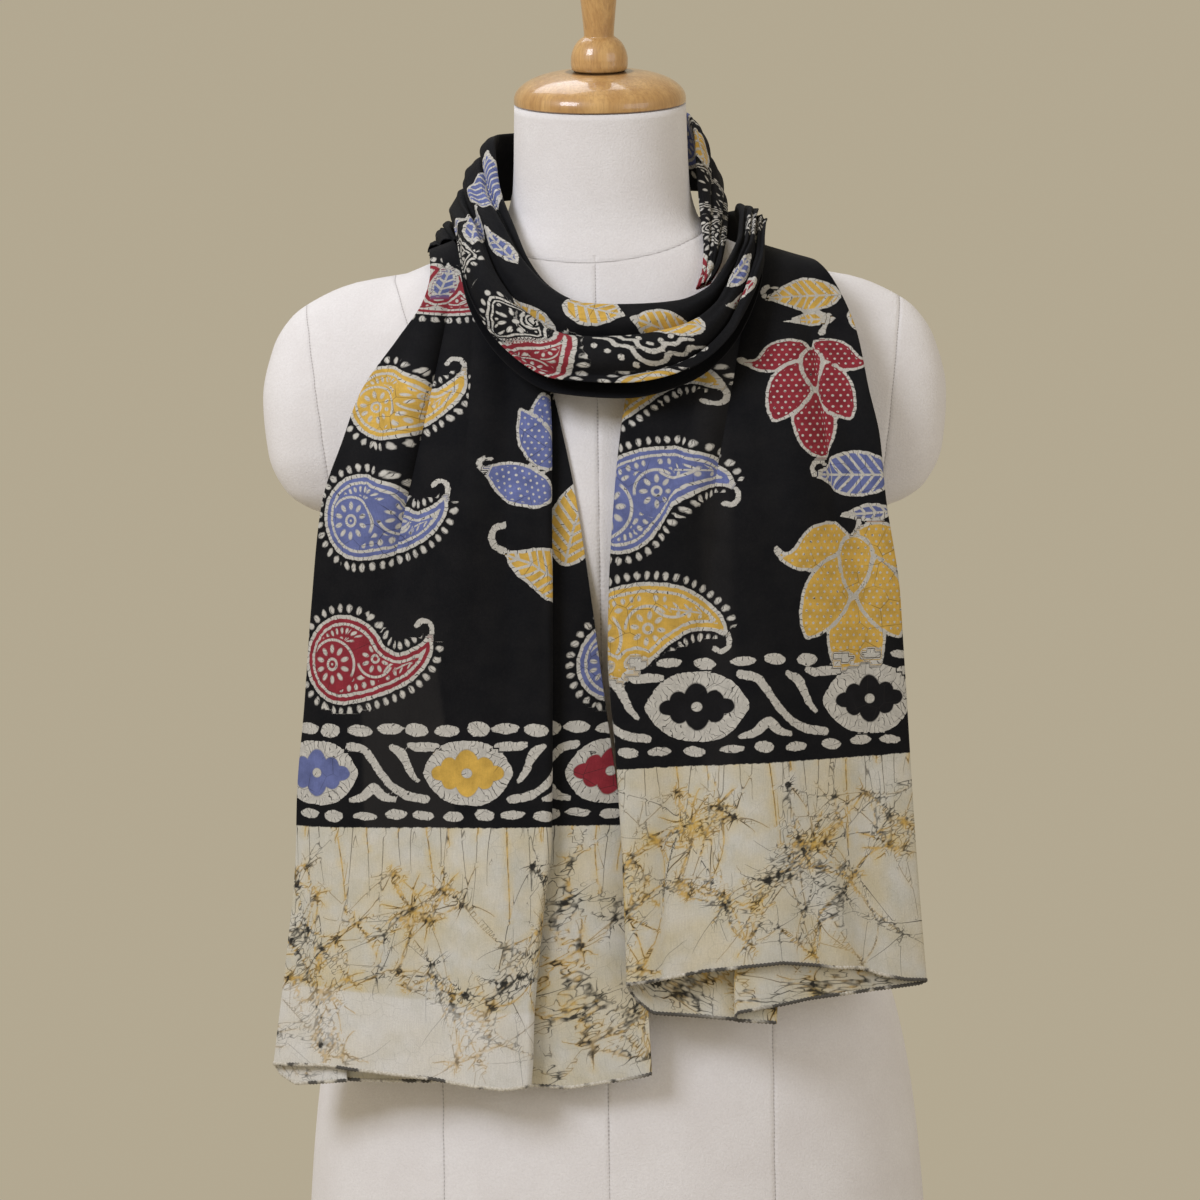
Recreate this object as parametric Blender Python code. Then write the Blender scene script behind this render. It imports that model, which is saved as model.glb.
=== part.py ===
# A cotton stole wound once round the neck of a limbless dress form.
# Metres, +Z up, the front towards -Y. The origin is the middle of the form's flat base.

import math

import bmesh
import bpy
import numpy as np

# ---- driving dimensions -------------------------------------------------------------
WALL = 0.0012            # cloth wall
REST = 0.0022            # how far the innermost cloth's middle stands off the form

FORM_POINTS = 44         # points round the torso
FORM_POWER = 2.25        # how full the torso's sections are (2 is an ellipse)
STUMP_POWER = 4.0        # the shoulder stumps are squarer
STUMP_BLEND = 12.0       # how tightly a stump runs into the chest

NECK_TILT = math.radians(12.7)     # the neck's top leans forward
NECK_TOP = 0.7585                  # height of the middle of the neck's top
NECK_TOP_Y = -0.003
CAP_RADIUS = 0.0532
CAP_EDGE = 0.0028                  # the straight rim of the wooden cap
CAP_DOME = 0.0170                  # height of its dome over the rim
CAP_FLAT = 0.0170                  # radius of the flat seat for the finial
WOOD_GAP = 0.0003
TURNED_POINTS = 24


def remove_everything():
    for thing in list(bpy.data.objects):
        bpy.data.objects.remove(thing, do_unlink=True)


def plain_material(name, color, roughness, metallic=0.0):
    """A plain Principled material."""
    mat = bpy.data.materials.new(name)
    mat.use_nodes = True
    shader = mat.node_tree.nodes["Principled BSDF"]
    shader.inputs["Base Color"].default_value = (*color, 1.0)
    shader.inputs["Roughness"].default_value = roughness
    shader.inputs["Metallic"].default_value = metallic
    return mat


def table(columns, rows):
    """Rows of numbers under named columns, as one array for each column."""
    values = np.array(rows, dtype=float)
    return {name: values[:, i] for i, name in enumerate(columns.split())}


def eased(keys, values, at):
    """A smooth curve through the keys with no overshoot (monotone cubic)."""
    keys, values, at = (np.asarray(a, dtype=float) for a in (keys, values, at))
    step = np.diff(keys)
    slope = np.diff(values) / step
    tangent = np.zeros(len(keys))
    tangent[0], tangent[-1] = slope[0], slope[-1]
    same = slope[:-1] * slope[1:] > 0
    w1, w2 = 2 * step[1:] + step[:-1], step[1:] + 2 * step[:-1]
    safe = np.where(same, slope[:-1], 1.0), np.where(same, slope[1:], 1.0)
    mean = (w1 + w2) / (w1 / safe[0] + w2 / safe[1])
    tangent[1:-1] = np.where(same, mean, 0.0)
    i = np.clip(np.searchsorted(keys, at, side="right") - 1, 0, len(keys) - 2)
    h = step[i]
    t = np.clip((at - keys[i]) / h, 0.0, 1.0)
    a, b = values[i], values[i + 1]
    return ((1 + 2 * t) * (1 - t) ** 2 * a + t * (1 - t) ** 2 * h * tangent[i]
            + t * t * (3 - 2 * t) * b - t * t * (1 - t) * h * tangent[i + 1])


def read_table(tab, key, at):
    """Every other column of a table, read smoothly at the given keys."""
    return {name: eased(tab[key], col, at) for name, col in tab.items() if name != key}


def loft(rings):
    """Points and side faces through rings of points (stations, points, xyz)."""
    count, around = rings.shape[:2]
    verts = rings.reshape(-1, 3)
    i, j = np.meshgrid(np.arange(count - 1), np.arange(around), indexing="ij")
    k = (j + 1) % around
    quads = np.stack([i * around + j, i * around + k, (i + 1) * around + k,
                      (i + 1) * around + j], axis=-1).reshape(-1, 4)
    faces = [tuple(q) for q in quads.tolist()]
    return verts, faces


def make_object(name, verts, faces, material, smooth_angle=50.0):
    """A mesh object whose faces are turned to point outwards."""
    mesh = bpy.data.meshes.new(name)
    mesh.from_pydata([tuple(v) for v in verts.tolist()], [], faces)
    bm = bmesh.new()
    bm.from_mesh(mesh)
    bmesh.ops.recalc_face_normals(bm, faces=bm.faces)
    bm.to_mesh(mesh)
    bm.free()
    mesh.shade_smooth()
    mesh.set_sharp_from_angle(angle=math.radians(smooth_angle))
    mesh.materials.append(material)
    obj = bpy.data.objects.new(name, mesh)
    bpy.context.collection.objects.link(obj)
    return obj


# ---- the dress form -----------------------------------------------------------------
# One row for each level: height, half width, front and back of the body, and how far
# out and how deep the shoulder stumps are there (0.01 where there is none).
FORM = table("z half_width front back stump_x stump_y", [
    (0.0000, 0.1925, -0.1160, 0.1220, 0.010, 0.010),
    (0.0350, 0.1925, -0.1180, 0.1270, 0.010, 0.010),
    (0.0780, 0.1905, -0.1180, 0.1280, 0.010, 0.010),
    (0.1420, 0.1850, -0.1130, 0.1240, 0.010, 0.010),
    (0.2000, 0.1745, -0.1040, 0.1110, 0.010, 0.010),
    (0.2600, 0.1500, -0.0940, 0.0920, 0.010, 0.010),
    (0.3200, 0.1310, -0.0880, 0.0780, 0.010, 0.010),
    (0.4000, 0.1400, -0.1060, 0.0840, 0.010, 0.010),
    (0.4500, 0.1500, -0.1200, 0.0910, 0.010, 0.010),
    (0.4900, 0.1560, -0.1240, 0.0960, 0.100, 0.020),
    (0.5060, 0.1580, -0.1230, 0.0980, 0.158, 0.028),
    (0.5120, 0.1590, -0.1220, 0.0990, 0.180, 0.036),
    (0.5220, 0.1600, -0.1190, 0.1000, 0.195, 0.045),
    (0.5450, 0.1610, -0.1120, 0.1020, 0.2065, 0.055),
    (0.5800, 0.1600, -0.0985, 0.1020, 0.2100, 0.058),
    (0.6100, 0.1560, -0.0830, 0.0950, 0.2040, 0.050),
    (0.6300, 0.1480, -0.0730, 0.0850, 0.1920, 0.038),
    (0.6420, 0.1400, -0.0670, 0.0770, 0.1740, 0.028),
    (0.6520, 0.1280, -0.0625, 0.0700, 0.1450, 0.020),
    (0.6620, 0.1060, -0.0585, 0.0640, 0.0100, 0.010),
    (0.6700, 0.0860, -0.0555, 0.0600, 0.0100, 0.010),
    (0.6790, 0.0680, -0.0530, 0.0570, 0.0100, 0.010),
    (0.6900, 0.0590, -0.0520, 0.0550, 0.0100, 0.010),
    (0.7100, 0.0545, -0.0525, 0.0535, 0.0100, 0.010),
    (NECK_TOP, 0.0530, -0.0550, 0.0490, 0.0100, 0.010),
])
FORM_LEVELS = [0.0, 0.035, 0.078, 0.12, 0.16, 0.20, 0.24, 0.28, 0.32, 0.36, 0.40, 0.44,
               0.48, 0.506, 0.512, 0.522, 0.545, 0.575, 0.60, 0.62, 0.636, 0.648, 0.658,
               0.667, 0.679, 0.695, 0.725, NECK_TOP]


def form_angles():
    """Angles round the torso, closer together at the shoulders."""
    turn = np.arange(FORM_POINTS) * 2 * math.pi / FORM_POINTS
    return turn - 0.25 * np.sin(2 * turn)


def form_rings(levels):
    """The torso's level sections. Front and back halves have their own depths."""
    row = read_table(FORM, "z", levels)
    ang = form_angles()[None, :]
    middle = 0.5 * (row["front"] + row["back"])
    depth = 0.5 * (row["back"] - row["front"])
    cos, sin = np.abs(np.cos(ang)), np.abs(np.sin(ang))

    def superellipse(a, b, power):
        return ((cos / a[:, None]) ** power + (sin / b[:, None]) ** power) ** (-1 / power)

    body = superellipse(row["half_width"], depth, FORM_POWER)
    stump = superellipse(row["stump_x"], row["stump_y"], STUMP_POWER)
    radius = (body ** STUMP_BLEND + stump ** STUMP_BLEND) ** (1 / STUMP_BLEND)
    x = radius * np.cos(ang)
    y = middle[:, None] + radius * np.sin(ang)
    lean = np.clip((np.asarray(levels) - 0.69) / (NECK_TOP - 0.69), 0.0, 1.0)
    z = np.asarray(levels)[:, None] + (math.tan(NECK_TILT) * lean)[:, None] * (y - NECK_TOP_Y)
    return np.stack([x, y, z], axis=-1)


def make_torso(material):
    rings = form_rings(np.array(FORM_LEVELS))
    verts, faces = loft(rings)
    last = (len(FORM_LEVELS) - 1) * FORM_POINTS
    faces.append(tuple(range(FORM_POINTS)))
    faces.append(tuple(last + i for i in range(FORM_POINTS)))
    return make_object("form_torso", verts, faces, material)


# ---- turned wood --------------------------------------------------------------------
def turned(name, profile, material):
    """A solid turned about the tilted neck axis; profile rows are (radius, height)."""
    prof = np.array(profile)
    ang = np.arange(TURNED_POINTS) * 2 * math.pi / TURNED_POINTS
    x = prof[:, 0, None] * np.cos(ang)[None, :]
    y = prof[:, 0, None] * np.sin(ang)[None, :]
    z = np.repeat(prof[:, 1, None], TURNED_POINTS, axis=1)
    c, s = math.cos(NECK_TILT), math.sin(NECK_TILT)
    rings = np.stack([x, NECK_TOP_Y + y * c - z * s, NECK_TOP + y * s + z * c], axis=-1)
    verts, faces = loft(rings)
    last = (len(prof) - 1) * TURNED_POINTS
    faces.append(tuple(range(TURNED_POINTS)))
    faces.append(tuple(last + i for i in range(TURNED_POINTS)))
    return make_object(name, verts, faces, material, smooth_angle=35.0)


def cap_profile():
    """A short rim, then a low dome that ends in a flat seat."""
    rows = [(CAP_RADIUS - 0.0012, WOOD_GAP), (CAP_RADIUS, WOOD_GAP + 0.0012),
            (CAP_RADIUS, WOOD_GAP + CAP_EDGE)]
    for turn in np.radians([15, 30, 45, 60, 70]):
        rows.append((CAP_FLAT + (CAP_RADIUS - CAP_FLAT) * math.cos(turn),
                     WOOD_GAP + CAP_EDGE + CAP_DOME * math.sin(turn)))
    rows.append((CAP_FLAT, WOOD_GAP + CAP_EDGE + CAP_DOME))
    return rows


# The finial's profile from its foot up: a low ball, a waist and a handle that widens.
FINIAL = table("radius up", [
    (0.0158, 0.0000), (0.0170, 0.0012), (0.0176, 0.0045), (0.0176, 0.0075),
    (0.0170, 0.0110), (0.0157, 0.0145), (0.0138, 0.0175), (0.0118, 0.0195),
    (0.0100, 0.0208), (0.0093, 0.0216), (0.0095, 0.0260), (0.0101, 0.0330),
    (0.0108, 0.0400), (0.0115, 0.0470), (0.0122, 0.0540), (0.0128, 0.0610),
    (0.0126, 0.0660), (0.0112, 0.0705), (0.0085, 0.0735), (0.0045, 0.0752),
])


def finial_profile():
    foot = 2 * WOOD_GAP + CAP_EDGE + CAP_DOME
    return list(zip(FINIAL["radius"], foot + FINIAL["up"]))


# ---- cloth --------------------------------------------------------------------------
def rounded_path(points, count):
    """Points spread evenly along a smooth curve through the given section points.

    points is (stations, keys, 2). A Catmull-Rom curve through the keys is sampled
    densely, then read again at equal steps of its own length.
    """
    keys = points.shape[1]
    pad = np.concatenate([2 * points[:, :1] - points[:, 1:2], points,
                          2 * points[:, -1:] - points[:, -2:-1]], axis=1)
    fine = 12
    t = np.linspace(0, keys - 1, (keys - 1) * fine + 1)
    i = np.minimum(t.astype(int), keys - 2)
    f = (t - i)[None, :, None]
    p0, p1, p2, p3 = (pad[:, i + n] for n in range(4))
    curve = 0.5 * (2 * p1 + (p2 - p0) * f + (2 * p0 - 5 * p1 + 4 * p2 - p3) * f ** 2
                   + (3 * p1 - p0 - 3 * p2 + p3) * f ** 3)
    out = np.empty((len(points), count, 2))
    for station in range(len(points)):
        step = np.linalg.norm(np.diff(curve[station], axis=0), axis=1)
        length = np.concatenate([[0.0], np.cumsum(step)])
        want = np.linspace(0, length[-1], count)
        for axis in range(2):
            out[station, :, axis] = np.interp(want, length, curve[station, :, axis])
    return out


def walled(path):
    """A closed ring round an open section path: one side out, the other side back."""
    ahead = np.gradient(path, axis=1)
    ahead /= np.linalg.norm(ahead, axis=2, keepdims=True)
    side = np.stack([ahead[..., 1], -ahead[..., 0]], axis=-1) * (WALL / 2)
    return np.concatenate([path + side, (path - side)[:, ::-1]], axis=1)


def cloth(name, rings, material):
    """A cloth wall through rings whose first half is one face and second half the other."""
    around = rings.shape[1]
    half = around // 2
    verts, faces = loft(rings)
    last = (len(rings) - 1) * around
    for start in (0, last):
        for i in range(half - 1):
            faces.append((start + i, start + i + 1,
                          start + around - 2 - i, start + around - 1 - i))
    return make_object(name, verts, faces, material, smooth_angle=60.0)


# A band of the stole that goes round the neck: for each station, the outer (low) and the
# inner (high) edge of its section, and how deep the gathered cloth is there.
BAND_COLUMNS = "at low_x low_y low_z high_x high_y high_z depth"

COWL = table(BAND_COLUMNS, [
    (0.0, -0.0810, 0.0460, 0.7000, -0.0620, 0.0350, 0.7420, 0.0060),
    (1.0, -0.0880, 0.0200, 0.6930, -0.0635, 0.0120, 0.7370, 0.0070),
    (2.0, -0.0900, -0.0120, 0.6850, -0.0610, -0.0180, 0.7080, 0.0080),
    (3.0, -0.0890, -0.0500, 0.6700, -0.0530, -0.0460, 0.6770, 0.0100),
    (4.0, -0.0840, -0.0880, 0.6360, -0.0450, -0.0670, 0.6540, 0.0130),
    (5.0, -0.0640, -0.1150, 0.5980, -0.0310, -0.0830, 0.6350, 0.0160),
    (6.0, -0.0300, -0.1270, 0.5745, -0.0090, -0.0910, 0.6240, 0.0190),
    (7.0, 0.0120, -0.1300, 0.5705, 0.0180, -0.0920, 0.6215, 0.0200),
    (8.0, 0.0500, -0.1220, 0.5800, 0.0430, -0.0880, 0.6245, 0.0170),
    (9.0, 0.0790, -0.1050, 0.6050, 0.0640, -0.0790, 0.6350, 0.0130),
    (10.0, 0.0965, -0.0730, 0.6480, 0.0815, -0.0540, 0.6670, 0.0090),
    (11.0, 0.0975, -0.0250, 0.6770, 0.0835, -0.0180, 0.6890, 0.0065),
    (12.0, 0.0940, 0.0180, 0.6790, 0.0825, 0.0180, 0.6950, 0.0055),
])
BACK_INNER = table(BAND_COLUMNS, [
    (0.0, -0.0806, 0.0468, 0.7000, -0.0616, 0.0358, 0.7420, 0.0060),
    (1.0, -0.0600, 0.0690, 0.7030, -0.0450, 0.0550, 0.7455, 0.0060),
    (2.0, -0.0270, 0.0810, 0.7060, -0.0220, 0.0630, 0.7500, 0.0065),
    (3.0, 0.0080, 0.0830, 0.7080, 0.0060, 0.0650, 0.7530, 0.0065),
    (4.0, 0.0410, 0.0760, 0.7080, 0.0310, 0.0590, 0.7560, 0.0065),
    (5.0, 0.0650, 0.0580, 0.7060, 0.0490, 0.0430, 0.7560, 0.0060),
    (6.0, 0.0745, 0.0330, 0.7020, 0.0570, 0.0180, 0.7420, 0.0045),
    (7.0, 0.0765, 0.0080, 0.6930, 0.0580, -0.0080, 0.7120, 0.0040),
    (8.0, 0.0760, -0.0180, 0.6800, 0.0595, -0.0330, 0.6850, 0.0035),
    (9.0, 0.0745, -0.0400, 0.6690, 0.0610, -0.0510, 0.6670, 0.0035),
    (10.0, 0.0720, -0.0580, 0.6560, 0.0600, -0.0650, 0.6520, 0.0030),
    (11.0, 0.0650, -0.0730, 0.6430, 0.0560, -0.0770, 0.6390, 0.0030),
])
BACK_OUTER = table(BAND_COLUMNS, [
    (0.0, 0.0937, 0.0188, 0.6790, 0.0822, 0.0188, 0.6950, 0.0055),
    (1.0, 0.0950, 0.0470, 0.6690, 0.0820, 0.0420, 0.6930, 0.0065),
    (2.0, 0.0820, 0.0730, 0.6560, 0.0730, 0.0630, 0.6930, 0.0080),
    (3.0, 0.0520, 0.0890, 0.6450, 0.0470, 0.0790, 0.6900, 0.0085),
    (4.0, 0.0170, 0.0950, 0.6410, 0.0160, 0.0850, 0.6890, 0.0090),
    (5.0, -0.0190, 0.0940, 0.6410, -0.0180, 0.0840, 0.6880, 0.0090),
    (6.0, -0.0540, 0.0860, 0.6450, -0.0500, 0.0770, 0.6880, 0.0085),
    (7.0, -0.0840, 0.0680, 0.6550, -0.0770, 0.0610, 0.6880, 0.0080),
    (8.0, -0.1000, 0.0400, 0.6640, -0.0925, 0.0370, 0.6890, 0.0065),
    (9.0, -0.1025, 0.0060, 0.6670, -0.0925, 0.0060, 0.6840, 0.0055),
    (10.0, -0.1065, -0.0280, 0.6645, -0.0880, -0.0280, 0.6720, 0.0045),
])

# The section of a band: up the inside, over the top, and down the outside.
BAND_SECTION = table("across out", [
    (0.03, 0.16), (0.16, 0.05), (0.36, 0.00), (0.58, 0.00), (0.80, 0.04), (0.95, 0.18),
    (1.00, 0.50), (0.94, 0.84), (0.80, 0.98), (0.60, 1.00), (0.40, 1.00), (0.20, 0.94),
    (0.04, 0.74),
])
BAND_POINTS = 22         # points across one face of a band's wall
FOLDS_ACROSS = 2.3       # soft folds that run round the outside of a band
FOLD_DRIFT = 0.11        # how far they climb from one station to the next
FOLD_HEIGHT = 0.16       # their height, as a share of the band's depth
COWL_PHASE = 0.6         # where the first fold lies at the cowl's left end


def band_rings(tab, stations, phase):
    """A band's closed wall sections, one for each station along it."""
    at = np.linspace(tab["at"][0], tab["at"][-1], stations)
    row = read_table(tab, "at", at)
    low = np.stack([row["low_x"], row["low_y"], row["low_z"]], axis=-1)
    high = np.stack([row["high_x"], row["high_y"], row["high_z"]], axis=-1)
    chord = high - low
    tall = np.linalg.norm(chord, axis=1)
    across = chord / tall[:, None]
    ahead = np.gradient(0.5 * (low + high), axis=0)
    out = np.cross(ahead, across)
    out /= np.linalg.norm(out, axis=1, keepdims=True)
    middle = 0.5 * (low + high) - np.array([0.0, 0.0, 0.60])
    out *= np.sign(np.sum(out * middle, axis=1))[:, None]

    s, n = BAND_SECTION["across"], BAND_SECTION["out"]
    depth = row["depth"][:, None]
    outer = np.clip((n - 0.6) / 0.3, 0.0, 1.0)[None, :]
    wave = np.sin(2 * math.pi * (FOLDS_ACROSS * s[None, :] - FOLD_DRIFT * at[:, None]) + phase)
    flat = np.stack([s[None, :] * tall[:, None],
                     (n[None, :] + FOLD_HEIGHT * outer * wave) * depth], axis=-1)
    wall = walled(rounded_path(flat, BAND_POINTS))
    return (low[:, None, :] + wall[..., 0, None] * across[:, None, :]
            + wall[..., 1, None] * out[:, None, :])


# ---- the hanging tails --------------------------------------------------------------
HANG_POWER = 2.3         # how full the hanging cloth's level sections are
TURN_POINTS = 3          # points round one fold edge

# Height, half width of the hanging curve there, distance between layers, how far over
# the shoulder the station lies (0 hangs, 1 lies on top) and its places across.
TAIL_LEFT = table("z width layer curl edge fold turn end over back", [
    (0.1720, 0.2300, 0.0040, -0.1560, -0.1985, -0.0500, -0.1640, 0.0217, 0.00, -0.060),
    (0.2300, 0.2300, 0.0040, -0.1590, -0.1914, -0.0440, -0.1620, 0.0190, 0.00, -0.060),
    (0.3200, 0.2280, 0.0038, -0.1600, -0.1834, -0.0352, -0.1560, 0.0070, 0.00, -0.060),
    (0.3900, 0.2260, 0.0036, -0.1580, -0.1772, -0.0335, -0.1500, -0.0020, 0.00, -0.060),
    (0.4540, 0.2250, 0.0034, -0.1560, -0.1720, -0.0325, -0.1440, -0.0097, 0.00, -0.060),
    (0.5160, 0.2230, 0.0032, -0.1525, -0.1650, -0.0320, -0.1380, -0.0181, 0.00, -0.060),
    (0.5520, 0.2180, 0.0031, -0.1415, -0.1530, -0.0316, -0.1280, -0.0250, 0.00, -0.060),
    (0.5800, 0.2100, 0.0030, -0.1330, -0.1435, -0.0325, -0.1190, -0.0311, 0.00, -0.060),
    (0.6130, 0.1900, 0.0026, -0.1130, -0.1216, -0.0420, -0.1040, -0.0400, 0.00, -0.060),
    (0.6320, 0.1700, 0.0022, -0.1015, -0.1085, -0.0600, -0.0950, -0.0580, 0.02, -0.058),
    (0.6460, 0.1600, 0.0018, -0.0975, -0.1035, -0.0800, -0.0940, -0.0790, 0.30, -0.050),
    (0.6540, 0.1600, 0.0016, -0.0995, -0.1050, -0.0890, -0.0970, -0.0885, 0.85, -0.037),
    (0.6570, 0.1600, 0.0015, -0.1005, -0.1060, -0.0905, -0.0980, -0.0900, 1.00, -0.0292),
])
TAIL_RIGHT = table("z width layer inset left right turn corner over back", [
    (0.2240, 0.2300, 0.0040, 0.0740, 0.0075, 0.1811, 0.0710, 0.0950, 0.00, -0.060),
    (0.3000, 0.2280, 0.0038, 0.0700, 0.0060, 0.1764, 0.0720, 0.0980, 0.00, -0.060),
    (0.3670, 0.2260, 0.0037, 0.0660, 0.0030, 0.1731, 0.0740, 0.1000, 0.00, -0.060),
    (0.4200, 0.2250, 0.0036, 0.0620, -0.0005, 0.1707, 0.0760, 0.1020, 0.00, -0.060),
    (0.4570, 0.2240, 0.0035, 0.0600, 0.0005, 0.1690, 0.0780, 0.1040, 0.00, -0.060),
    (0.5140, 0.2220, 0.0034, 0.0600, 0.0045, 0.1620, 0.0800, 0.1060, 0.00, -0.060),
    (0.5500, 0.2200, 0.0032, 0.0620, 0.0085, 0.1600, 0.0860, 0.1090, 0.00, -0.060),
    (0.5780, 0.2120, 0.0030, 0.0660, 0.0135, 0.1554, 0.0930, 0.1130, 0.00, -0.060),
    (0.6130, 0.1950, 0.0026, 0.0800, 0.0420, 0.1505, 0.1010, 0.1170, 0.00, -0.060),
    (0.6360, 0.1750, 0.0022, 0.0940, 0.0720, 0.1418, 0.1040, 0.1170, 0.10, -0.055),
    (0.6520, 0.1700, 0.0019, 0.1030, 0.0930, 0.1300, 0.1080, 0.1180, 0.60, -0.034),
    (0.6590, 0.1650, 0.0016, 0.1060, 0.0970, 0.1235, 0.1080, 0.1160, 1.00, 0.014),
])
# A tail's layers from one selvedge to the other: where each starts and stops, which
# layer it is (3 is in front) and how many points lie along it.
LEFT_RUNS = [("curl", "edge", 2, 4), ("edge", "fold", 3, 17), ("fold", "turn", 1, 6),
             ("turn", "end", 0, 8)]
RIGHT_RUNS = [("inset", "left", 0, 5), ("left", "right", 3, 18), ("right", "turn", 2, 7),
              ("turn", "corner", 1, 4)]
OVERLAP_SPACE = 0.0040       # the right tail hangs this far over the left tail's edge
OVERLAP_TOP = 0.600          # above this height the tails no longer overlap

# Long soft creases of the hanging cloth: where each starts and ends (x, z), its
# half width and its depth (negative is a trough).
LEFT_CREASES = table("top_x top_z foot_x foot_z wide deep", [
    (-0.0900, 0.6370, -0.1230, 0.4700, 0.0100, -0.0060),
    (-0.0720, 0.6300, -0.0920, 0.4300, 0.0110, 0.0040),
    (-0.0560, 0.6200, -0.0580, 0.3600, 0.0120, -0.0035),
    (-0.1420, 0.5400, -0.1650, 0.3000, 0.0120, 0.0030),
    (-0.1100, 0.3800, -0.1000, 0.1500, 0.0200, -0.0045),
    (-0.0650, 0.3300, -0.0750, 0.1500, 0.0160, 0.0035),
])
RIGHT_CREASES = table("top_x top_z foot_x foot_z wide deep", [
    (0.0800, 0.6400, 0.0550, 0.4300, 0.0120, -0.0040),
    (0.1050, 0.6500, 0.1150, 0.4600, 0.0120, 0.0040),
    (0.1350, 0.6400, 0.1480, 0.4200, 0.0110, -0.0035),
    (0.0850, 0.4200, 0.0950, 0.2000, 0.0200, 0.0050),
    (0.0400, 0.3800, 0.0450, 0.2000, 0.0160, -0.0040),
    (0.1450, 0.3600, 0.1500, 0.2000, 0.0160, -0.0035),
])


def hang_front(z):
    """How far forward the form holds hanging cloth: the most forward level above."""
    levels = np.linspace(0.10, 0.70, 121)
    reach = -read_table(FORM, "z", levels)["front"]
    held = np.maximum.accumulate(reach[::-1])[::-1]
    return np.interp(z, levels, held) + REST


def crease_lift(x, z, creases):
    """The soft ridges and troughs at a point of the hanging cloth."""
    lift = np.zeros_like(x)
    for i in range(len(creases["wide"])):
        down = (creases["top_z"][i] - z) / (creases["top_z"][i] - creases["foot_z"][i])
        path = creases["top_x"][i] + down * (creases["foot_x"][i] - creases["top_x"][i])
        fade = np.clip(np.minimum(down + 0.25, 1.25 - down) / 0.45, 0.0, 1.0)
        fade = fade * fade * (3 - 2 * fade)
        lift += creases["deep"][i] * fade * np.exp(-((x - path) / creases["wide"][i]) ** 2)
    return lift


def layered_path(row, runs):
    """A tail's level section in (across, layers): straight layers joined by round folds."""
    pieces = []
    pitch = row["layer"]
    for number, (start, stop, layer, count) in enumerate(runs):
        a, b = row[start], row[stop]
        way = np.sign(b - a)
        before = abs(runs[number - 1][2] - layer) / 2 * pitch if number else 0 * pitch
        last = number == len(runs) - 1
        after = 0 * pitch if last else abs(runs[number + 1][2] - layer) / 2 * pitch
        x0, x1 = a + way * before, b - way * after
        share = np.linspace(0.0, 1.0, count)
        x = x0[:, None] + (x1 - x0)[:, None] * share[None, :]
        n = np.repeat((layer * pitch)[:, None], count, axis=1)
        pieces.append(np.stack([x, n], axis=-1))
        if last:
            break
        up = np.sign(runs[number + 1][2] - layer)
        turn = np.linspace(0.0, math.pi, TURN_POINTS + 2)[1:-1]
        x = x1[:, None] + way[:, None] * after[:, None] * np.sin(turn)[None, :]
        n = (layer * pitch)[:, None] + up * after[:, None] * (1 - np.cos(turn))[None, :]
        pieces.append(np.stack([x, n], axis=-1))
    return np.concatenate(pieces, axis=1)


def tail_rings(tab, runs, creases, heights, stand_off):
    """A tail's closed wall sections, from its hem up."""
    row = read_table(tab, "z", heights)
    wall = walled(layered_path(row, runs))
    x, n = wall[..., 0], wall[..., 1]
    z = np.repeat(np.asarray(heights)[:, None], x.shape[1], axis=1)
    front = hang_front(np.asarray(heights))[:, None] + stand_off
    width = row["width"][:, None]

    def curve(at):
        full = np.clip(1 - (np.abs(at) / width) ** HANG_POWER, 0.02, 1.0)
        return -front * full ** (1 / HANG_POWER) - crease_lift(at, z, creases)

    nudge = 0.0015
    slope = (curve(x + nudge) - curve(x - nudge)) / (2 * nudge)
    size = np.sqrt(1 + slope ** 2)
    hung = np.stack([x + n * slope / size, curve(x) - n / size, z], axis=-1)
    return hung, row, x, n


LEFT_HEIGHTS = [0.172, 0.21, 0.26, 0.31, 0.355, 0.40, 0.44, 0.475, 0.505, 0.53, 0.555,
                0.578, 0.60, 0.618, 0.633, 0.642, 0.649, 0.654, 0.657]
RIGHT_HEIGHTS = [0.224, 0.265, 0.31, 0.355, 0.40, 0.44, 0.475, 0.51, 0.535, 0.558, 0.58,
                 0.60, 0.618, 0.632, 0.643, 0.651, 0.6555, 0.659]
SHOULDER_X = 0.106           # where the shoulder line is read
SHOULDER_Z = 0.6640          # height of the cloth's underside there
SHOULDER_FALL = 0.370        # fall of the shoulder, metres for each metre outwards


def make_tail(name, tab, runs, creases, heights, space, material):
    """A hanging tail whose top bends back over the shoulder, under the cowl."""
    hung, row, x, n = tail_rings(tab, runs, creases, heights, space[:, None])
    shoulder = SHOULDER_Z - SHOULDER_FALL * (np.abs(x) - SHOULDER_X)
    laid = np.stack([x, np.repeat(row["back"][:, None], x.shape[1], axis=1), shoulder + n],
                    axis=-1)
    over = row["over"][:, None, None]
    return cloth(name, hung * (1 - over) + laid * over, material)


def make_tails(material):
    left, right = np.array(LEFT_HEIGHTS), np.array(RIGHT_HEIGHTS)
    space = OVERLAP_SPACE * np.clip((OVERLAP_TOP - right) / 0.05, 0.0, 1.0)
    make_tail("stole_tail_left", TAIL_LEFT, LEFT_RUNS, LEFT_CREASES, left, 0.0 * left,
              material)
    make_tail("stole_tail_right", TAIL_RIGHT, RIGHT_RUNS, RIGHT_CREASES, right, space,
              material)


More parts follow.
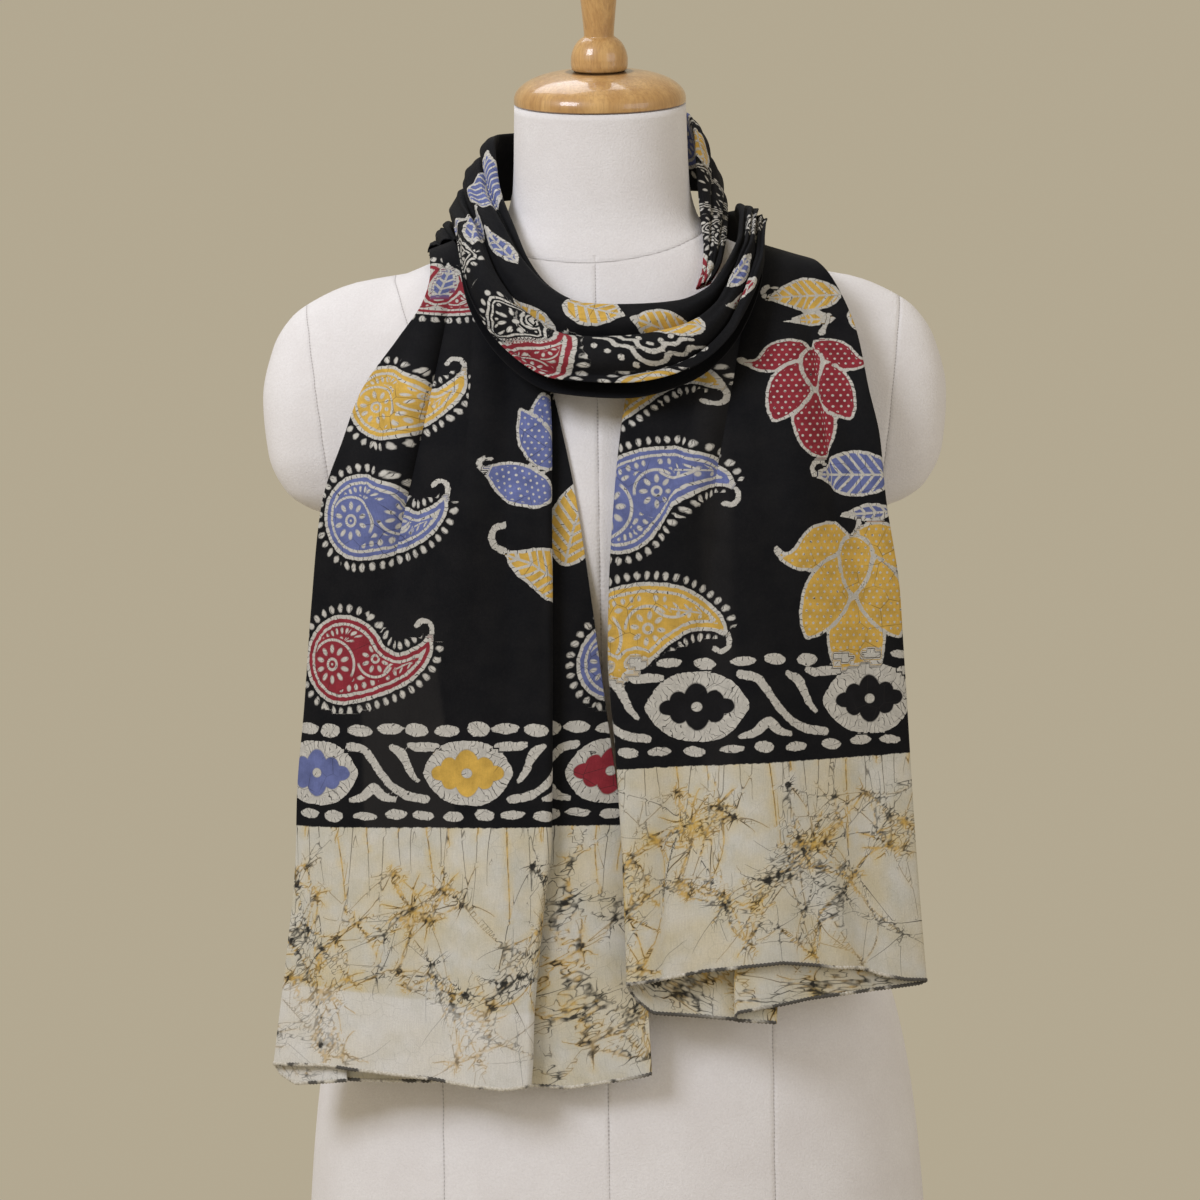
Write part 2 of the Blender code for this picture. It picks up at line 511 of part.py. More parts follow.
# ---- the model ----------------------------------------------------------------------
def main():
    remove_everything()
    cover = plain_material("form_cover", (0.72, 0.69, 0.67), 0.85)
    wood = plain_material("varnished_wood", (0.70, 0.45, 0.18), 0.30)
    cotton = plain_material("printed_cotton", (0.03, 0.03, 0.035), 0.85)
    make_torso(cover)
    turned("form_neck_cap", cap_profile(), wood)
    turned("form_finial", finial_profile(), wood)
    make_tails(cotton)
    cloth("stole_cowl", band_rings(COWL, 25, COWL_PHASE), cotton)
    cloth("stole_back_inner", band_rings(BACK_INNER, 19, COWL_PHASE), cotton)
    outer_phase = COWL_PHASE - 2 * math.pi * FOLD_DRIFT * COWL["at"][-1]
    cloth("stole_back_outer", band_rings(BACK_OUTER, 18, outer_phase), cotton)


main()
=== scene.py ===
# %% [markdown]
# # A printed cotton stole on a dress form
# The solids of the model are loaded first and stay where they are. Every piece made
# below is a finer surface on the form of one of those solids, in the same place.

# %% Load the frame
import math
import bpy
import numpy as np
from mathutils import Matrix


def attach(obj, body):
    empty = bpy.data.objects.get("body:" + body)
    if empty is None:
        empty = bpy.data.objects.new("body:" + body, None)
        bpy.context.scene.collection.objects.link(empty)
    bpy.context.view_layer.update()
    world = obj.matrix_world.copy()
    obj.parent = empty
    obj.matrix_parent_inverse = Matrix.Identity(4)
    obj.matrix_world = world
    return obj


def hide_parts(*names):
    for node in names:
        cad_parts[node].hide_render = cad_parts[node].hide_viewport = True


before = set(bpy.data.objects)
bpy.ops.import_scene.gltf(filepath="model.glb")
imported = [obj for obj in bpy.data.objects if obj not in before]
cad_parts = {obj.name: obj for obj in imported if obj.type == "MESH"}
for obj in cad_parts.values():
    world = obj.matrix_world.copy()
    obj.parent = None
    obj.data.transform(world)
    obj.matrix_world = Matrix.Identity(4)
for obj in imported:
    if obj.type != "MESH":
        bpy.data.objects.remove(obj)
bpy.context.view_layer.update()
print("solids:", sorted(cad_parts))

# %% [markdown]
# ## Curves through a few sizes
# A maker's size chart gives a handful of levels. The surfaces need many more, so each
# column of a chart is read with a smooth curve that never overshoots its values. The
# charts of lengths are written in millimetres and kept in metres.

# %% Charts
MM = 1000.0                           # a chart in millimetres is divided by this


def chart(columns, text, per=1.0):
    """Rows of numbers under named columns, written as text, as one array for each name.
    Every number is divided by per."""
    names = columns.split()
    numbers = np.array(text.replace(",", " ").split(), dtype=float) / per
    return dict(zip(names, numbers.reshape(-1, len(names)).T))


def eased(keys, values, at):
    """Monotone cubic: between two keys the curve is h00*a + h10*h*ma + h01*b + h11*h*mb,
    with slopes ma and mb that are the weighted harmonic mean of the neighbours' slopes,
    or 0 where the values turn round."""
    keys, values, at = (np.asarray(a, dtype=float) for a in (keys, values, at))
    step = np.diff(keys)
    slope = np.diff(values) / step
    tangent = np.zeros(len(keys))
    tangent[0], tangent[-1] = slope[0], slope[-1]
    same = slope[:-1] * slope[1:] > 0
    w1, w2 = 2 * step[1:] + step[:-1], step[1:] + 2 * step[:-1]
    safe = np.where(same, slope[:-1], 1.0), np.where(same, slope[1:], 1.0)
    tangent[1:-1] = np.where(same, (w1 + w2) / (w1 / safe[0] + w2 / safe[1]), 0.0)
    i = np.clip(np.searchsorted(keys, at, side="right") - 1, 0, len(keys) - 2)
    h = step[i]
    t = np.clip((at - keys[i]) / h, 0.0, 1.0)
    return ((1 + 2 * t) * (1 - t) ** 2 * values[i] + t * (1 - t) ** 2 * h * tangent[i]
            + t * t * (3 - 2 * t) * values[i + 1] - t * t * (1 - t) * h * tangent[i + 1])


def read(table, key, at):
    """Every other column of a chart at the given keys."""
    return {name: eased(table[key], col, at) for name, col in table.items() if name != key}


def smoothstep(low, high, x):
    """0 below low, 1 above high, and 3t^2 - 2t^3 between them."""
    t = np.clip((x - low) / (high - low), 0.0, 1.0)
    return t * t * (3 - 2 * t)


def unit(vectors):
    """Each vector divided by its length."""
    return vectors / np.linalg.norm(vectors, axis=-1, keepdims=True)


def length_along(points):
    """Length walked along a row of points, from its first."""
    steps = np.linalg.norm(np.diff(points, axis=0), axis=1)
    return np.concatenate([[0.0], np.cumsum(steps)])


# %% [markdown]
# ## From a grid of points to a mesh
# Each surface is a function of two parameters. Its points come as one array, rows by
# columns, and every four neighbours make a face. A second array gives each point its
# place on the flat cloth, in metres, which becomes the UV map.

# %% Grid meshes
def grid_faces(rows, cols, closed):
    """Four corners for each cell; a closed grid joins its last column to its first."""
    i, j = np.meshgrid(np.arange(rows - 1), np.arange(cols if closed else cols - 1),
                       indexing="ij")
    k = (j + 1) % cols
    return np.stack([i * cols + j, i * cols + k, (i + 1) * cols + k, (i + 1) * cols + j],
                    axis=-1).reshape(-1, 4)


def in_scene(name, data):
    """A new object for a mesh, a camera or a light, linked to the scene."""
    obj = bpy.data.objects.new(name, data)
    bpy.context.scene.collection.objects.link(obj)
    return obj


def grid_object(name, points, closed=False, caps=False, flat=None):
    """A smooth mesh object through a grid of points. caps closes both ends with a pole."""
    rows, cols = points.shape[:2]
    verts, faces = points.reshape(-1, 3), grid_faces(rows, cols, closed).tolist()
    if caps:
        poles = np.stack([points[0].mean(axis=0), points[-1].mean(axis=0)])
        verts = np.concatenate([verts, poles])
        foot, top, last = rows * cols, rows * cols + 1, (rows - 1) * cols
        faces += [[(j + 1) % cols, j, foot] for j in range(cols)]
        faces += [[last + j, last + (j + 1) % cols, top] for j in range(cols)]
    mesh = bpy.data.meshes.new(name)
    mesh.from_pydata(verts.tolist(), [], faces)
    if flat is not None:
        corner = np.empty(len(mesh.loops), dtype=np.int32)
        mesh.loops.foreach_get("vertex_index", corner)
        layer = mesh.uv_layers.new(name="flat")
        layer.data.foreach_set("uv", flat.reshape(-1, 2)[corner].astype(np.float32).ravel())
    mesh.shade_smooth()
    print(name, "faces:", len(mesh.polygons))
    return in_scene(name, mesh)


def stands_for(obj, node):
    """The piece rides on the one body and hides its solid."""
    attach(obj, "root")
    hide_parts(node)
    return obj


# %% [markdown]
# ## The dress form
# The form is a padded torso under a tight cloth cover. Its level sections are
# superellipses, wide at the hips and shoulders, and a squarer superellipse blended in
# at the shoulders makes the stumps. The chart's rows are the levels.

# %% The form's chart
FORM_POWER = 2.25
STUMP_POWER = 4.0
STUMP_BLEND = 12.0
NECK_TILT = math.radians(12.7)
NECK_FOOT, NECK_TOP = 0.69, 0.7585
NECK_TOP_Y = -0.003
FORM = chart("z half_width front back stump_x stump_y", """
        0 192.5  -116  122    10 10
       35 192.5  -118  127    10 10
       78 190.5  -118  128    10 10
      142   185  -113  124    10 10
      200 174.5  -104  111    10 10
      260   150   -94   92    10 10
      320   131   -88   78    10 10
      400   140  -106   84    10 10
      450   150  -120   91    10 10
      490   156  -124   96   100 20
      506   158  -123   98   158 28
      512   159  -122   99   180 36
      522   160  -119  100   195 45
      545   161  -112  102 206.5 55
      580   160 -98.5  102   210 58
      610   156   -83   95   204 50
      630   148   -73   85   192 38
      642   140   -67   77   174 28
      652   128 -62.5   70   145 20
      662   106 -58.5   64    10 10
      670    86 -55.5   60    10 10
      679    68   -53   57    10 10
      690    59   -52   55    10 10
      710  54.5 -52.5 53.5    10 10
    758.5    53   -55   49    10 10""", MM)

# %% The form's surface
def form_points(levels, around):
    """At each level the radius is (body^12 + stump^12)^(1/12), where body and stump are
    superellipse radii; the neck's top rings tip forward by z += tan(tilt) * y."""
    row = read(FORM, "z", levels)
    turn = np.arange(around) * 2 * math.pi / around
    ang = (turn - 0.25 * np.sin(2 * turn))[None, :]
    middle = 0.5 * (row["front"] + row["back"])
    depth = 0.5 * (row["back"] - row["front"])
    cos, sin = np.abs(np.cos(ang)), np.abs(np.sin(ang))

    def radius(a, b, power):
        return ((cos / a[:, None]) ** power + (sin / b[:, None]) ** power) ** (-1 / power)

    body = radius(row["half_width"], depth, FORM_POWER)
    stump = radius(row["stump_x"], row["stump_y"], STUMP_POWER)
    reach = (body ** STUMP_BLEND + stump ** STUMP_BLEND) ** (1 / STUMP_BLEND)
    x, y = reach * np.cos(ang), middle[:, None] + reach * np.sin(ang)
    lean = np.clip((levels - NECK_FOOT) / (NECK_TOP - NECK_FOOT), 0.0, 1.0)[:, None]
    z = levels[:, None] + math.tan(NECK_TILT) * lean * (y - NECK_TOP_Y)
    return np.stack([x, y, z], axis=-1)


form_levels = np.unique(np.concatenate([
    np.linspace(0.0, 0.49, 70), np.linspace(0.49, 0.53, 22), np.linspace(0.53, 0.70, 70),
    np.linspace(0.70, NECK_TOP, 14)]))
torso = grid_object("form_cover", form_points(form_levels, 200), closed=True, caps=True)
stands_for(torso, "form_torso")

# %% [markdown]
# ## The wooden neck cap and knob
# Both are turned on a lathe, so each is a profile carried once round the neck's axis,
# which leans forward. The profile is rounded with small steps where the wood is cut.

# %% Turned wood
CAP_RADIUS = 0.0532
CAP_EDGE = 0.0028
CAP_DOME = 0.0170
CAP_FLAT = 0.0170
WOOD_GAP = 0.0003
CAP_CORNER = 0.0012


def turned(name, profile, around=120):
    """Each profile row (radius, height) becomes a circle about the leaning axis:
    y = y0 + r sin(a) cos(tilt) - h sin(tilt), z = z0 + r sin(a) sin(tilt) + h cos(tilt)."""
    r, h = np.array(profile).T[:, :, None]
    ang = (np.arange(around) * 2 * math.pi / around)[None, :]
    x, y = r * np.cos(ang), r * np.sin(ang)
    c, s = math.cos(NECK_TILT), math.sin(NECK_TILT)
    points = np.stack([x, NECK_TOP_Y + y * c - h * s, NECK_TOP + y * s + h * c], axis=-1)
    return grid_object(name, points, closed=True, caps=True)


def arc(count, start, stop):
    """Angles of an arc in radians, its end left out."""
    return np.radians(np.linspace(start, stop, count, endpoint=False))


cap_rows = [(CAP_RADIUS - CAP_CORNER + CAP_CORNER * math.sin(a),
             WOOD_GAP + CAP_CORNER - CAP_CORNER * math.cos(a)) for a in arc(6, 0, 90)]
cap_rows += [(CAP_FLAT + (CAP_RADIUS - CAP_FLAT) * math.cos(a),
              WOOD_GAP + CAP_EDGE + CAP_DOME * math.sin(a)) for a in arc(36, 0, 90)]
cap_rows += [(CAP_FLAT, WOOD_GAP + CAP_EDGE + CAP_DOME)]
cap = stands_for(turned("neck_cap", cap_rows), "form_neck_cap")

# %% The knob
KNOB = chart("up radius", """
    0 15.8, 1.2 17, 4.5 17.6, 7.5 17.6, 11 17, 14.5 15.7, 17.5 13.8, 19.5 11.8, 20.8 10,
    21.6 9.3, 26 9.5, 33 10.1, 40 10.8, 47 11.5, 54 12.2, 61 12.8, 66 12.6, 70.5 11.2,
    73.5 8.5, 75.2 4.5""", MM)
knob_up = np.unique(np.concatenate([np.linspace(0.0, 0.024, 60), KNOB["up"],
                                    np.linspace(0.024, 0.0752, 50)]))
knob_rows = np.stack([eased(KNOB["up"], KNOB["radius"], knob_up),
                      2 * WOOD_GAP + CAP_EDGE + CAP_DOME + knob_up], axis=-1).tolist()
knob = stands_for(turned("knob", knob_rows, 72), "form_finial")

# %% [markdown]
# ## The wound cloth: one long strip round the neck
# The stole goes once round the neck: high behind it, forward over the left side, down
# into a cowl in front, up over the right side and low behind the neck to the other
# tail. It is one strip, so one chart follows it from end to end, at places numbered
# from -11 to 22. Each row gives the low outer edge and the high inner edge of the
# gathered cloth and how deep it is. 0 and 12 are the ends of the cowl.

# %% The strip's chart
STRIP = chart("low_x low_y low_z high_x high_y high_z depth", """
        65  -73   643    56  -77   639   3
        72  -58   656    60  -65   652   3
      74.5  -40   669    61  -51   667 3.5
        76  -18   680  59.5  -33   685 3.5
      76.5    8   693    58   -8   712   4
      74.5   33   702    57   18   742 4.5
        65   58   706    49   43   756   6
        41   76   708    31   59   756 6.5
         8   83   708     6   65   753 6.5
       -27   81   706   -22   63   750 6.5
       -60   69   703   -45   55 745.5   6
     -80.8 46.4   700 -61.8 35.4   742   6
       -88   20   693 -63.5   12   737   7
       -90  -12   685   -61  -18   708   8
       -89  -50   670   -53  -46   677  10
       -84  -88   636   -45  -67   654  13
       -64 -115   598   -31  -83   635  16
       -30 -127 574.5    -9  -91   624  19
        12 -130 570.5    18  -92 621.5  20
        50 -122   580    43  -88 624.5  17
        79 -105   605    64  -79   635  13
      96.5  -73   648  81.5  -54   667   9
      97.5  -25   677  83.5  -18   689 6.5
      93.9 18.4   679  82.4 18.4   695 5.5
        95   47   669    82   42   693 6.5
        82   73   656    73   63   693   8
        52   89   645    47   79   690 8.5
        17   95   641    16   85   689   9
       -19   94   641   -18   84   688   9
       -54   86   645   -50   77   688 8.5
       -84   68   655   -77   61   688   8
      -100   40   664 -92.5   37   689 6.5
    -102.5    6   667 -92.5    6   684 5.5
    -106.5  -28 664.5   -88  -28   672 4.5""", MM)
STRIP["at"] = np.arange(-11.0, 23.0)
SECTION = chart("across out", """
    0.03 0.16, 0.16 0.05, 0.36 0, 0.58 0, 0.8 0.04, 0.95 0.18, 1 0.5, 0.94 0.84, 0.8 0.98,
    0.6 1, 0.4 1, 0.2 0.94, 0.04 0.74""")
FOLDS_ACROSS = 2.3
FOLD_DRIFT = 0.11
STRIP_PHASE = 0.6
PLEATS_ACROSS = 6.8
PLEAT_OUT = 0.0011
PLEAT_EVEN = 0.18
PLEAT_PLACES = [(2.6, 1.5), (10.4, 1.3), (-2.5, 2.0), (17.0, 2.5)]

# %% [markdown]
# ## The strip's surface and its folds
# Cloth that is pulled round a neck lies in soft tiers: each bulges out, and its lower
# edge hangs over the next. A wave that only moves in and out can't overhang, so each
# point of the section also slides across the band, as a point of a rolling wheel does.

# %% The strip's section
TIER_OUT = 0.0042
TIER_SLIDE = 0.62
INSIDE_FORM = (0.0, 0.0, 0.60)        # the strip's outer face looks away from here


def smooth_section(keys, count):
    """A Catmull-Rom curve through the section's keys, with equal steps of its parameter:
    0.5 (2b + (c - a) f + (2a - 5b + 4c - d) f^2 + (3b - a - 3c + d) f^3)."""
    pad = np.concatenate([2 * keys[:1] - keys[1:2], keys, 2 * keys[-1:] - keys[-2:-1]])
    t = np.linspace(0, len(keys) - 1, count)
    i = np.minimum(t.astype(int), len(keys) - 2)
    f = (t - i)[:, None]
    a, b, c, d = (pad[i + n] for n in range(4))
    return 0.5 * (2 * b + (c - a) * f + (2 * a - 5 * b + 4 * c - d) * f ** 2
                  + (3 * b - a - 3 * c + d) * f ** 3)


# %% Points of the strip
def strip_points(at, across_count):
    """low + s tall across + n depth out, where (s, n) is the section. On its outer face
    the folds add slide * sin(phase) to s and lift * cos(phase) to n."""
    row = read(STRIP, "at", at)
    low = np.stack([row["low_x"], row["low_y"], row["low_z"]], axis=-1)
    high = np.stack([row["high_x"], row["high_y"], row["high_z"]], axis=-1)
    tall = np.linalg.norm(high - low, axis=1)
    across = (high - low) / tall[:, None]
    out = unit(np.cross(np.gradient(0.5 * (low + high), axis=0), across))
    away = 0.5 * (low + high) - np.array(INSIDE_FORM)
    out *= np.sign(np.sum(out * away, axis=1))[:, None]

    section = smooth_section(np.stack([SECTION["across"], SECTION["out"]], axis=-1),
                             across_count)
    s, n = section[:, 0][None, :], section[:, 1][None, :]
    outer = smoothstep(0.55, 0.95, n) * smoothstep(1.02, 0.86, s)
    drift = FOLD_DRIFT * np.where(at < 0, -at, at)[:, None]
    wander = 0.35 * np.sin(0.9 * at + 0.7)[:, None] + 0.2 * np.sin(2.3 * at)[:, None] * s
    phase = 2 * math.pi * (FOLDS_ACROSS * s - drift) + STRIP_PHASE + wander
    deep = row["depth"][:, None]
    pleats = PLEAT_EVEN + sum(np.exp(-((at - centre) / reach) ** 2)
                              for centre, reach in PLEAT_PLACES)[:, None]
    pleat_phase = (2 * math.pi * (PLEATS_ACROSS * s - 0.24 * at[:, None])
                   + 0.9 * np.sin(1.7 * at[:, None] + 4 * s))
    lift = np.minimum(TIER_OUT, 0.34 * deep)
    slide = TIER_SLIDE / (2 * math.pi * FOLDS_ACROSS)
    s = (s - slide * outer * np.cos(phase)) * tall[:, None]
    n = n * deep + lift * outer * (np.sin(phase) + 0.25 * np.sin(2 * phase + 1.1))
    n += PLEAT_OUT * pleats * outer * (np.sin(pleat_phase) + 0.4 * np.sin(1.6 * pleat_phase + 1))
    return low[:, None] + s[..., None] * across[:, None] + n[..., None] * out[:, None]


def flat_lengths(points):
    """Metres along each row and metres along the middle column, from the first point."""
    across = np.cumsum(np.linalg.norm(np.diff(points, axis=1), axis=2), axis=1)
    across = np.concatenate([np.zeros((len(points), 1)), across], axis=1)
    return across, length_along(points[:, points.shape[1] // 2])


# %% The strip's three stretches
CLOTH = 0.0006
STRIP_STATIONS = 18                   # for each row of the chart
STRIP_ACROSS = 150
ROWS = len(STRIP["at"]) - 1
STRETCHES = [("cowl", 0, 12, "stole_cowl"), ("back_inner", -11, 0, "stole_back_inner"),
             ("back_outer", 12, 22, "stole_back_outer")]
strip_at = np.linspace(STRIP["at"][0], STRIP["at"][-1], ROWS * STRIP_STATIONS + 1)
strip = strip_points(strip_at, STRIP_ACROSS)
strip_u, strip_v = flat_lengths(strip)
strip_flat = np.stack([strip_u, np.repeat(strip_v[:, None], STRIP_ACROSS, axis=1)], axis=-1)


def give_wall(obj):
    """A thin wall, half on each side of the surface."""
    wall = obj.modifiers.new("wall", "SOLIDIFY")
    wall.thickness = CLOTH
    wall.offset = 0.0
    return obj


def stretch(start, stop):
    """Which stations lie on a stretch. Neighbours share their end stations."""
    return (strip_at >= start - 1e-6) & (strip_at <= stop + 1e-6)


cowl, back_inner, back_outer = (
    stands_for(give_wall(grid_object(name, strip[stretch(start, stop)],
                                     flat=strip_flat[stretch(start, stop)])),
               node)
    for name, start, stop, node in STRETCHES)

# %% [markdown]
# ## The hanging tails
# Each tail is the cloth's whole width, folded lengthwise into layers, and hangs from
# the shoulder. Its level section is a zigzag of straight layers joined by round folds,
# wrapped on the curve that the chest holds out. Each row of a chart is a height, with
# the places of the edges and folds. Its column over is how far the cloth has turned
# back over the shoulder, in thousandths.

# %% The tails' charts
HANG_POWER = 2.3
REST = 0.0022
NUDGE = 0.0015
TAIL_LEFT = chart("z width layer curl edge fold turn end over back", """
    172 230   4   -156 -198.5   -50 -164  21.7    0   -60
    230 230   4   -159 -191.4   -44 -162    19    0   -60
    320 228 3.8   -160 -183.4 -35.2 -156     7    0   -60
    390 226 3.6   -158 -177.2 -33.5 -150    -2    0   -60
    454 225 3.4   -156   -172 -32.5 -144  -9.7    0   -60
    516 223 3.2 -152.5   -165   -32 -138 -18.1    0   -60
    552 218 3.1 -141.5   -153 -31.6 -128   -25    0   -60
    580 210   3   -133 -143.5 -32.5 -119 -31.1    0   -60
    613 190 2.6   -113 -121.6   -42 -104   -40    0   -60
    632 170 2.2 -101.5 -108.5   -60  -95   -58   20   -58
    646 160 1.8  -97.5 -103.5   -80  -94   -79  300   -50
    654 160 1.6  -99.5   -105   -89  -97 -88.5  850   -37
    657 160 1.5 -100.5   -106 -90.5  -98   -90 1000 -29.2""", MM)
TAIL_RIGHT = chart("z width layer inset left right turn corner over back", """
    224 230   4  74  7.5 181.1  71  95    0 -60
    300 228 3.8  70    6 176.4  72  98    0 -60
    367 226 3.7  66    3 173.1  74 100    0 -60
    420 225 3.6  62 -0.5 170.7  76 102    0 -60
    457 224 3.5  60  0.5   169  78 104    0 -60
    514 222 3.4  60  4.5   162  80 106    0 -60
    550 220 3.2  62  8.5   160  86 109    0 -60
    578 212   3  66 13.5 155.4  93 113    0 -60
    613 195 2.6  80   42 150.5 101 117    0 -60
    636 175 2.2  94   72 141.8 104 117  100 -55
    652 170 1.9 103   93   130 108 118  600 -34
    659 165 1.6 106   97 123.5 108 116 1000  14""", MM)
LEFT_RUNS = [("curl", "edge", 2, 22), ("edge", "fold", 3, 96), ("fold", "turn", 1, 10),
             ("turn", "end", 0, 50)]
RIGHT_RUNS = [("inset", "left", 0, 24), ("left", "right", 3, 112), ("right", "turn", 2, 24),
              ("turn", "corner", 1, 10)]
OVERLAP_SPACE = 0.0040
OVERLAP_TOP = 0.600
SHOULDER_X = 0.106
SHOULDER_Z = 0.6640
SHOULDER_FALL = 0.370

# %% Long soft creases
CREASE_COLUMNS = "top_x top_z foot_x foot_z wide deep"
LEFT_CRIMPS = chart(CREASE_COLUMNS, """
    -96.5 615 -122.5 502 4.6 -6.6
     -107 615   -133 510 5.8  3.2
      -76 620    -82 530   5 -2.2
      -30 290    -42 200   7    2
     -185 360   -170 200  10   -3
      -50 520    -46 420   6  1.8
     -140 260   -150 175   8  2.2""", MM)
LEFT_CREASES = chart(CREASE_COLUMNS, """
     -90 637 -123 470 10   -6
     -72 630  -92 430 11    4
     -56 620  -58 360 12 -3.5
    -142 540 -165 300 12    3
    -110 380 -100 150 20 -4.5
     -65 330  -75 150 16  3.5""", MM)
RIGHT_CRIMPS = chart(CREASE_COLUMNS, """
     70 605  42 500   6  2.8
     86 625  62 530 5.2 -2.6
    118 635 130 500 6.5 -2.8
     30 330  26 230   8 -2.2
    120 300 132 230   7  2.2""", MM)
RIGHT_CREASES = chart(CREASE_COLUMNS, """
     80 640  55 430 12   -4
    105 650 115 460 12    4
    135 640 148 420 11 -3.5
     85 420  95 200 20    5
     40 380  45 200 16   -4
    145 360 150 200 16 -3.5""", MM)


def both(first, second):
    """Two charts of creases as one."""
    return {name: np.concatenate([first[name], second[name]]) for name in first}


def crease_lift(x, z, creases):
    """Each crease adds deep * exp(-((x - its line) / wide)^2), eased in and out at its
    ends along the way down."""
    lift = np.zeros_like(x)
    for i in range(len(creases["wide"])):
        down = (creases["top_z"][i] - z) / (creases["top_z"][i] - creases["foot_z"][i])
        line = creases["top_x"][i] + down * (creases["foot_x"][i] - creases["top_x"][i])
        fade = smoothstep(0.0, 0.45, np.minimum(down + 0.25, 1.25 - down))
        lift += creases["deep"][i] * fade * np.exp(-((x - line) / creases["wide"][i]) ** 2)
    return lift


# %% [markdown]
# ## A tail's surface
# The front of the hanging curve is the chest's most forward level above each point,
# because cloth falls straight from there. The layers stand off that curve one by one.

# %% Layers one behind the other
def hang_front(z):
    """The most forward reach of the form at or above each height, and a little space."""
    levels = np.linspace(0.10, 0.70, 121)
    reach = -read(FORM, "z", levels)["front"]
    return np.interp(z, levels, np.maximum.accumulate(reach[::-1])[::-1]) + REST


def layered_path(row, runs, bend=9):
    """Places (across, off the form) of a zigzag: straight runs at whole multiples of the
    layer's pitch, joined by half circles whose radius is half the distance they span.
    The last run's columns crowd toward its end, the part in view."""
    parts, pitch, front = [], row["layer"], slice(0, 0)
    for i, (start, stop, layer, count) in enumerate(runs):
        a, b, last = row[start], row[stop], i == len(runs) - 1
        way = np.sign(b - a)
        before = abs(runs[i - 1][2] - layer) / 2 * pitch if i else 0 * pitch
        after = 0 * pitch if last else abs(runs[i + 1][2] - layer) / 2 * pitch
        x0, x1 = a + way * before, b - way * after
        even = 1 - (1 - np.linspace(0, 1, count)) ** (1.5 if last else 1.0)
        x = x0[:, None] + (x1 - x0)[:, None] * even[None, :]
        if layer == 3:
            done = sum(part.shape[1] for part in parts)
            front = slice(done, done + count)
        parts.append(np.stack([x, np.repeat((layer * pitch)[:, None], count, 1)], -1))
        if not last:
            up = np.sign(runs[i + 1][2] - layer)
            turn = np.linspace(0, math.pi, bend + 2)[1:-1][None, :]
            x = x1[:, None] + (way * after)[:, None] * np.sin(turn)
            n = (layer * pitch)[:, None] + up * after[:, None] * (1 - np.cos(turn))
            parts.append(np.stack([x, n], axis=-1))
    return np.concatenate(parts, axis=1), front


# %% From a layered section to points
def tail_points(table, runs, creases, heights, hem, space):
    """x and z from the chart, y = -front (1 - |x/width|^p)^(1/p) less the creases, then
    n metres off that curve along its normal. The top bends back over the shoulder."""
    row = read(table, "z", heights)
    path, front_run = layered_path(row, runs)
    x, n = path[..., 0], path[..., 1]
    share = np.linspace(0.0, 1.0, x.shape[1])
    foot = heights[0]
    drop = (np.interp(share, hem["share"], hem["z"]) - foot)[None, :]
    z = heights[:, None] + drop * (1 - smoothstep(0.0, 0.12, heights - foot))[:, None]
    front = hang_front(heights)[:, None] + space[:, None]
    width = row["width"][:, None]

    def curve(at):
        full = np.clip(1 - (np.abs(at) / width) ** HANG_POWER, 0.02, 1.0)
        return -front * full ** (1 / HANG_POWER) - crease_lift(at, z, creases)

    slope = (curve(x + NUDGE) - curve(x - NUDGE)) / (2 * NUDGE)
    size = np.sqrt(1 + slope ** 2)
    hung = np.stack([x + n * slope / size, curve(x) - n / size, z], axis=-1)
    shoulder = SHOULDER_Z - SHOULDER_FALL * (np.abs(x) - SHOULDER_X) + n
    back = np.repeat(row["back"][:, None], x.shape[1], axis=1)
    over = row["over"][:, None, None]
    laid = np.stack([x, back, shoulder], axis=-1)
    return hung * (1 - over) + laid * over, front_run


def tail_flat(points, front_run, column_x):
    """Flat place of each point: metres along its row from where the front layer crosses
    x = column_x, and metres up from the hem."""
    across, along = flat_lengths(points)
    start = np.array([np.interp(column_x, row[:, 0], length) for row, length in
                      zip(points[:, front_run], across[:, front_run])])
    return np.stack([across - start[:, None],
                     np.repeat(along[:, None], across.shape[1], axis=1)], axis=-1)


# %% The tails' lower edges and rows
# share is how far along the row of layers a point lies, in thousandths
HEM_LEFT = chart("share z", """
    0 170, 80 166, 130 177, 250 179, 400 174, 580 167, 660 170, 720 170, 800 172, 900 166,
    930 169, 1000 174""", MM)
HEM_RIGHT = chart("share z", """
    0 205, 100 210, 140 228, 300 235, 450 239.5, 600 233.5, 700 225, 760 223, 860 217,
    930 206, 1000 203""", MM)


def heights_from(stops):
    """Heights between stops, each stretch with its own step: close where the cracks and
    the border are drawn, wider above."""
    parts = [np.arange(a, b - 0.3 * step, step) for (a, step), (b, _) in zip(stops, stops[1:])]
    return np.concatenate(parts + [[stops[-1][0]]])


left_z = heights_from([(0.172, 0.0016), (0.326, 0.0022), (0.392, 0.0025), (0.642, 0.0016),
                       (0.657, 0)])
right_z = heights_from([(0.224, 0.0014), (0.348, 0.0020), (0.412, 0.0022), (0.642, 0.0016),
                        (0.659, 0)])

# %% The two tails
OVERLAP_EASE = 0.05
LEFT_MIDDLE, RIGHT_MIDDLE = -0.083, 0.085       # x of the print's u = 0 on each tail


def hanging_tail(name, table, runs, creases, crimps, heights, hem, space, middle):
    """A tail's object, its grid of points and their flat places. The cloth was printed
    before it was crimped, so its flat place ignores the crimps."""
    points, front_run = tail_points(table, runs, both(creases, crimps), heights, hem, space)
    uncrimped, _ = tail_points(table, runs, creases, heights, hem, space)
    flat = tail_flat(uncrimped, front_run, middle)
    print(name, "rows:", len(heights), "flat width:", round(float(np.ptp(flat[0, :, 0])), 3))
    piece = give_wall(grid_object(name, points, flat=flat))
    return stands_for(piece, "stole_" + name), points, flat


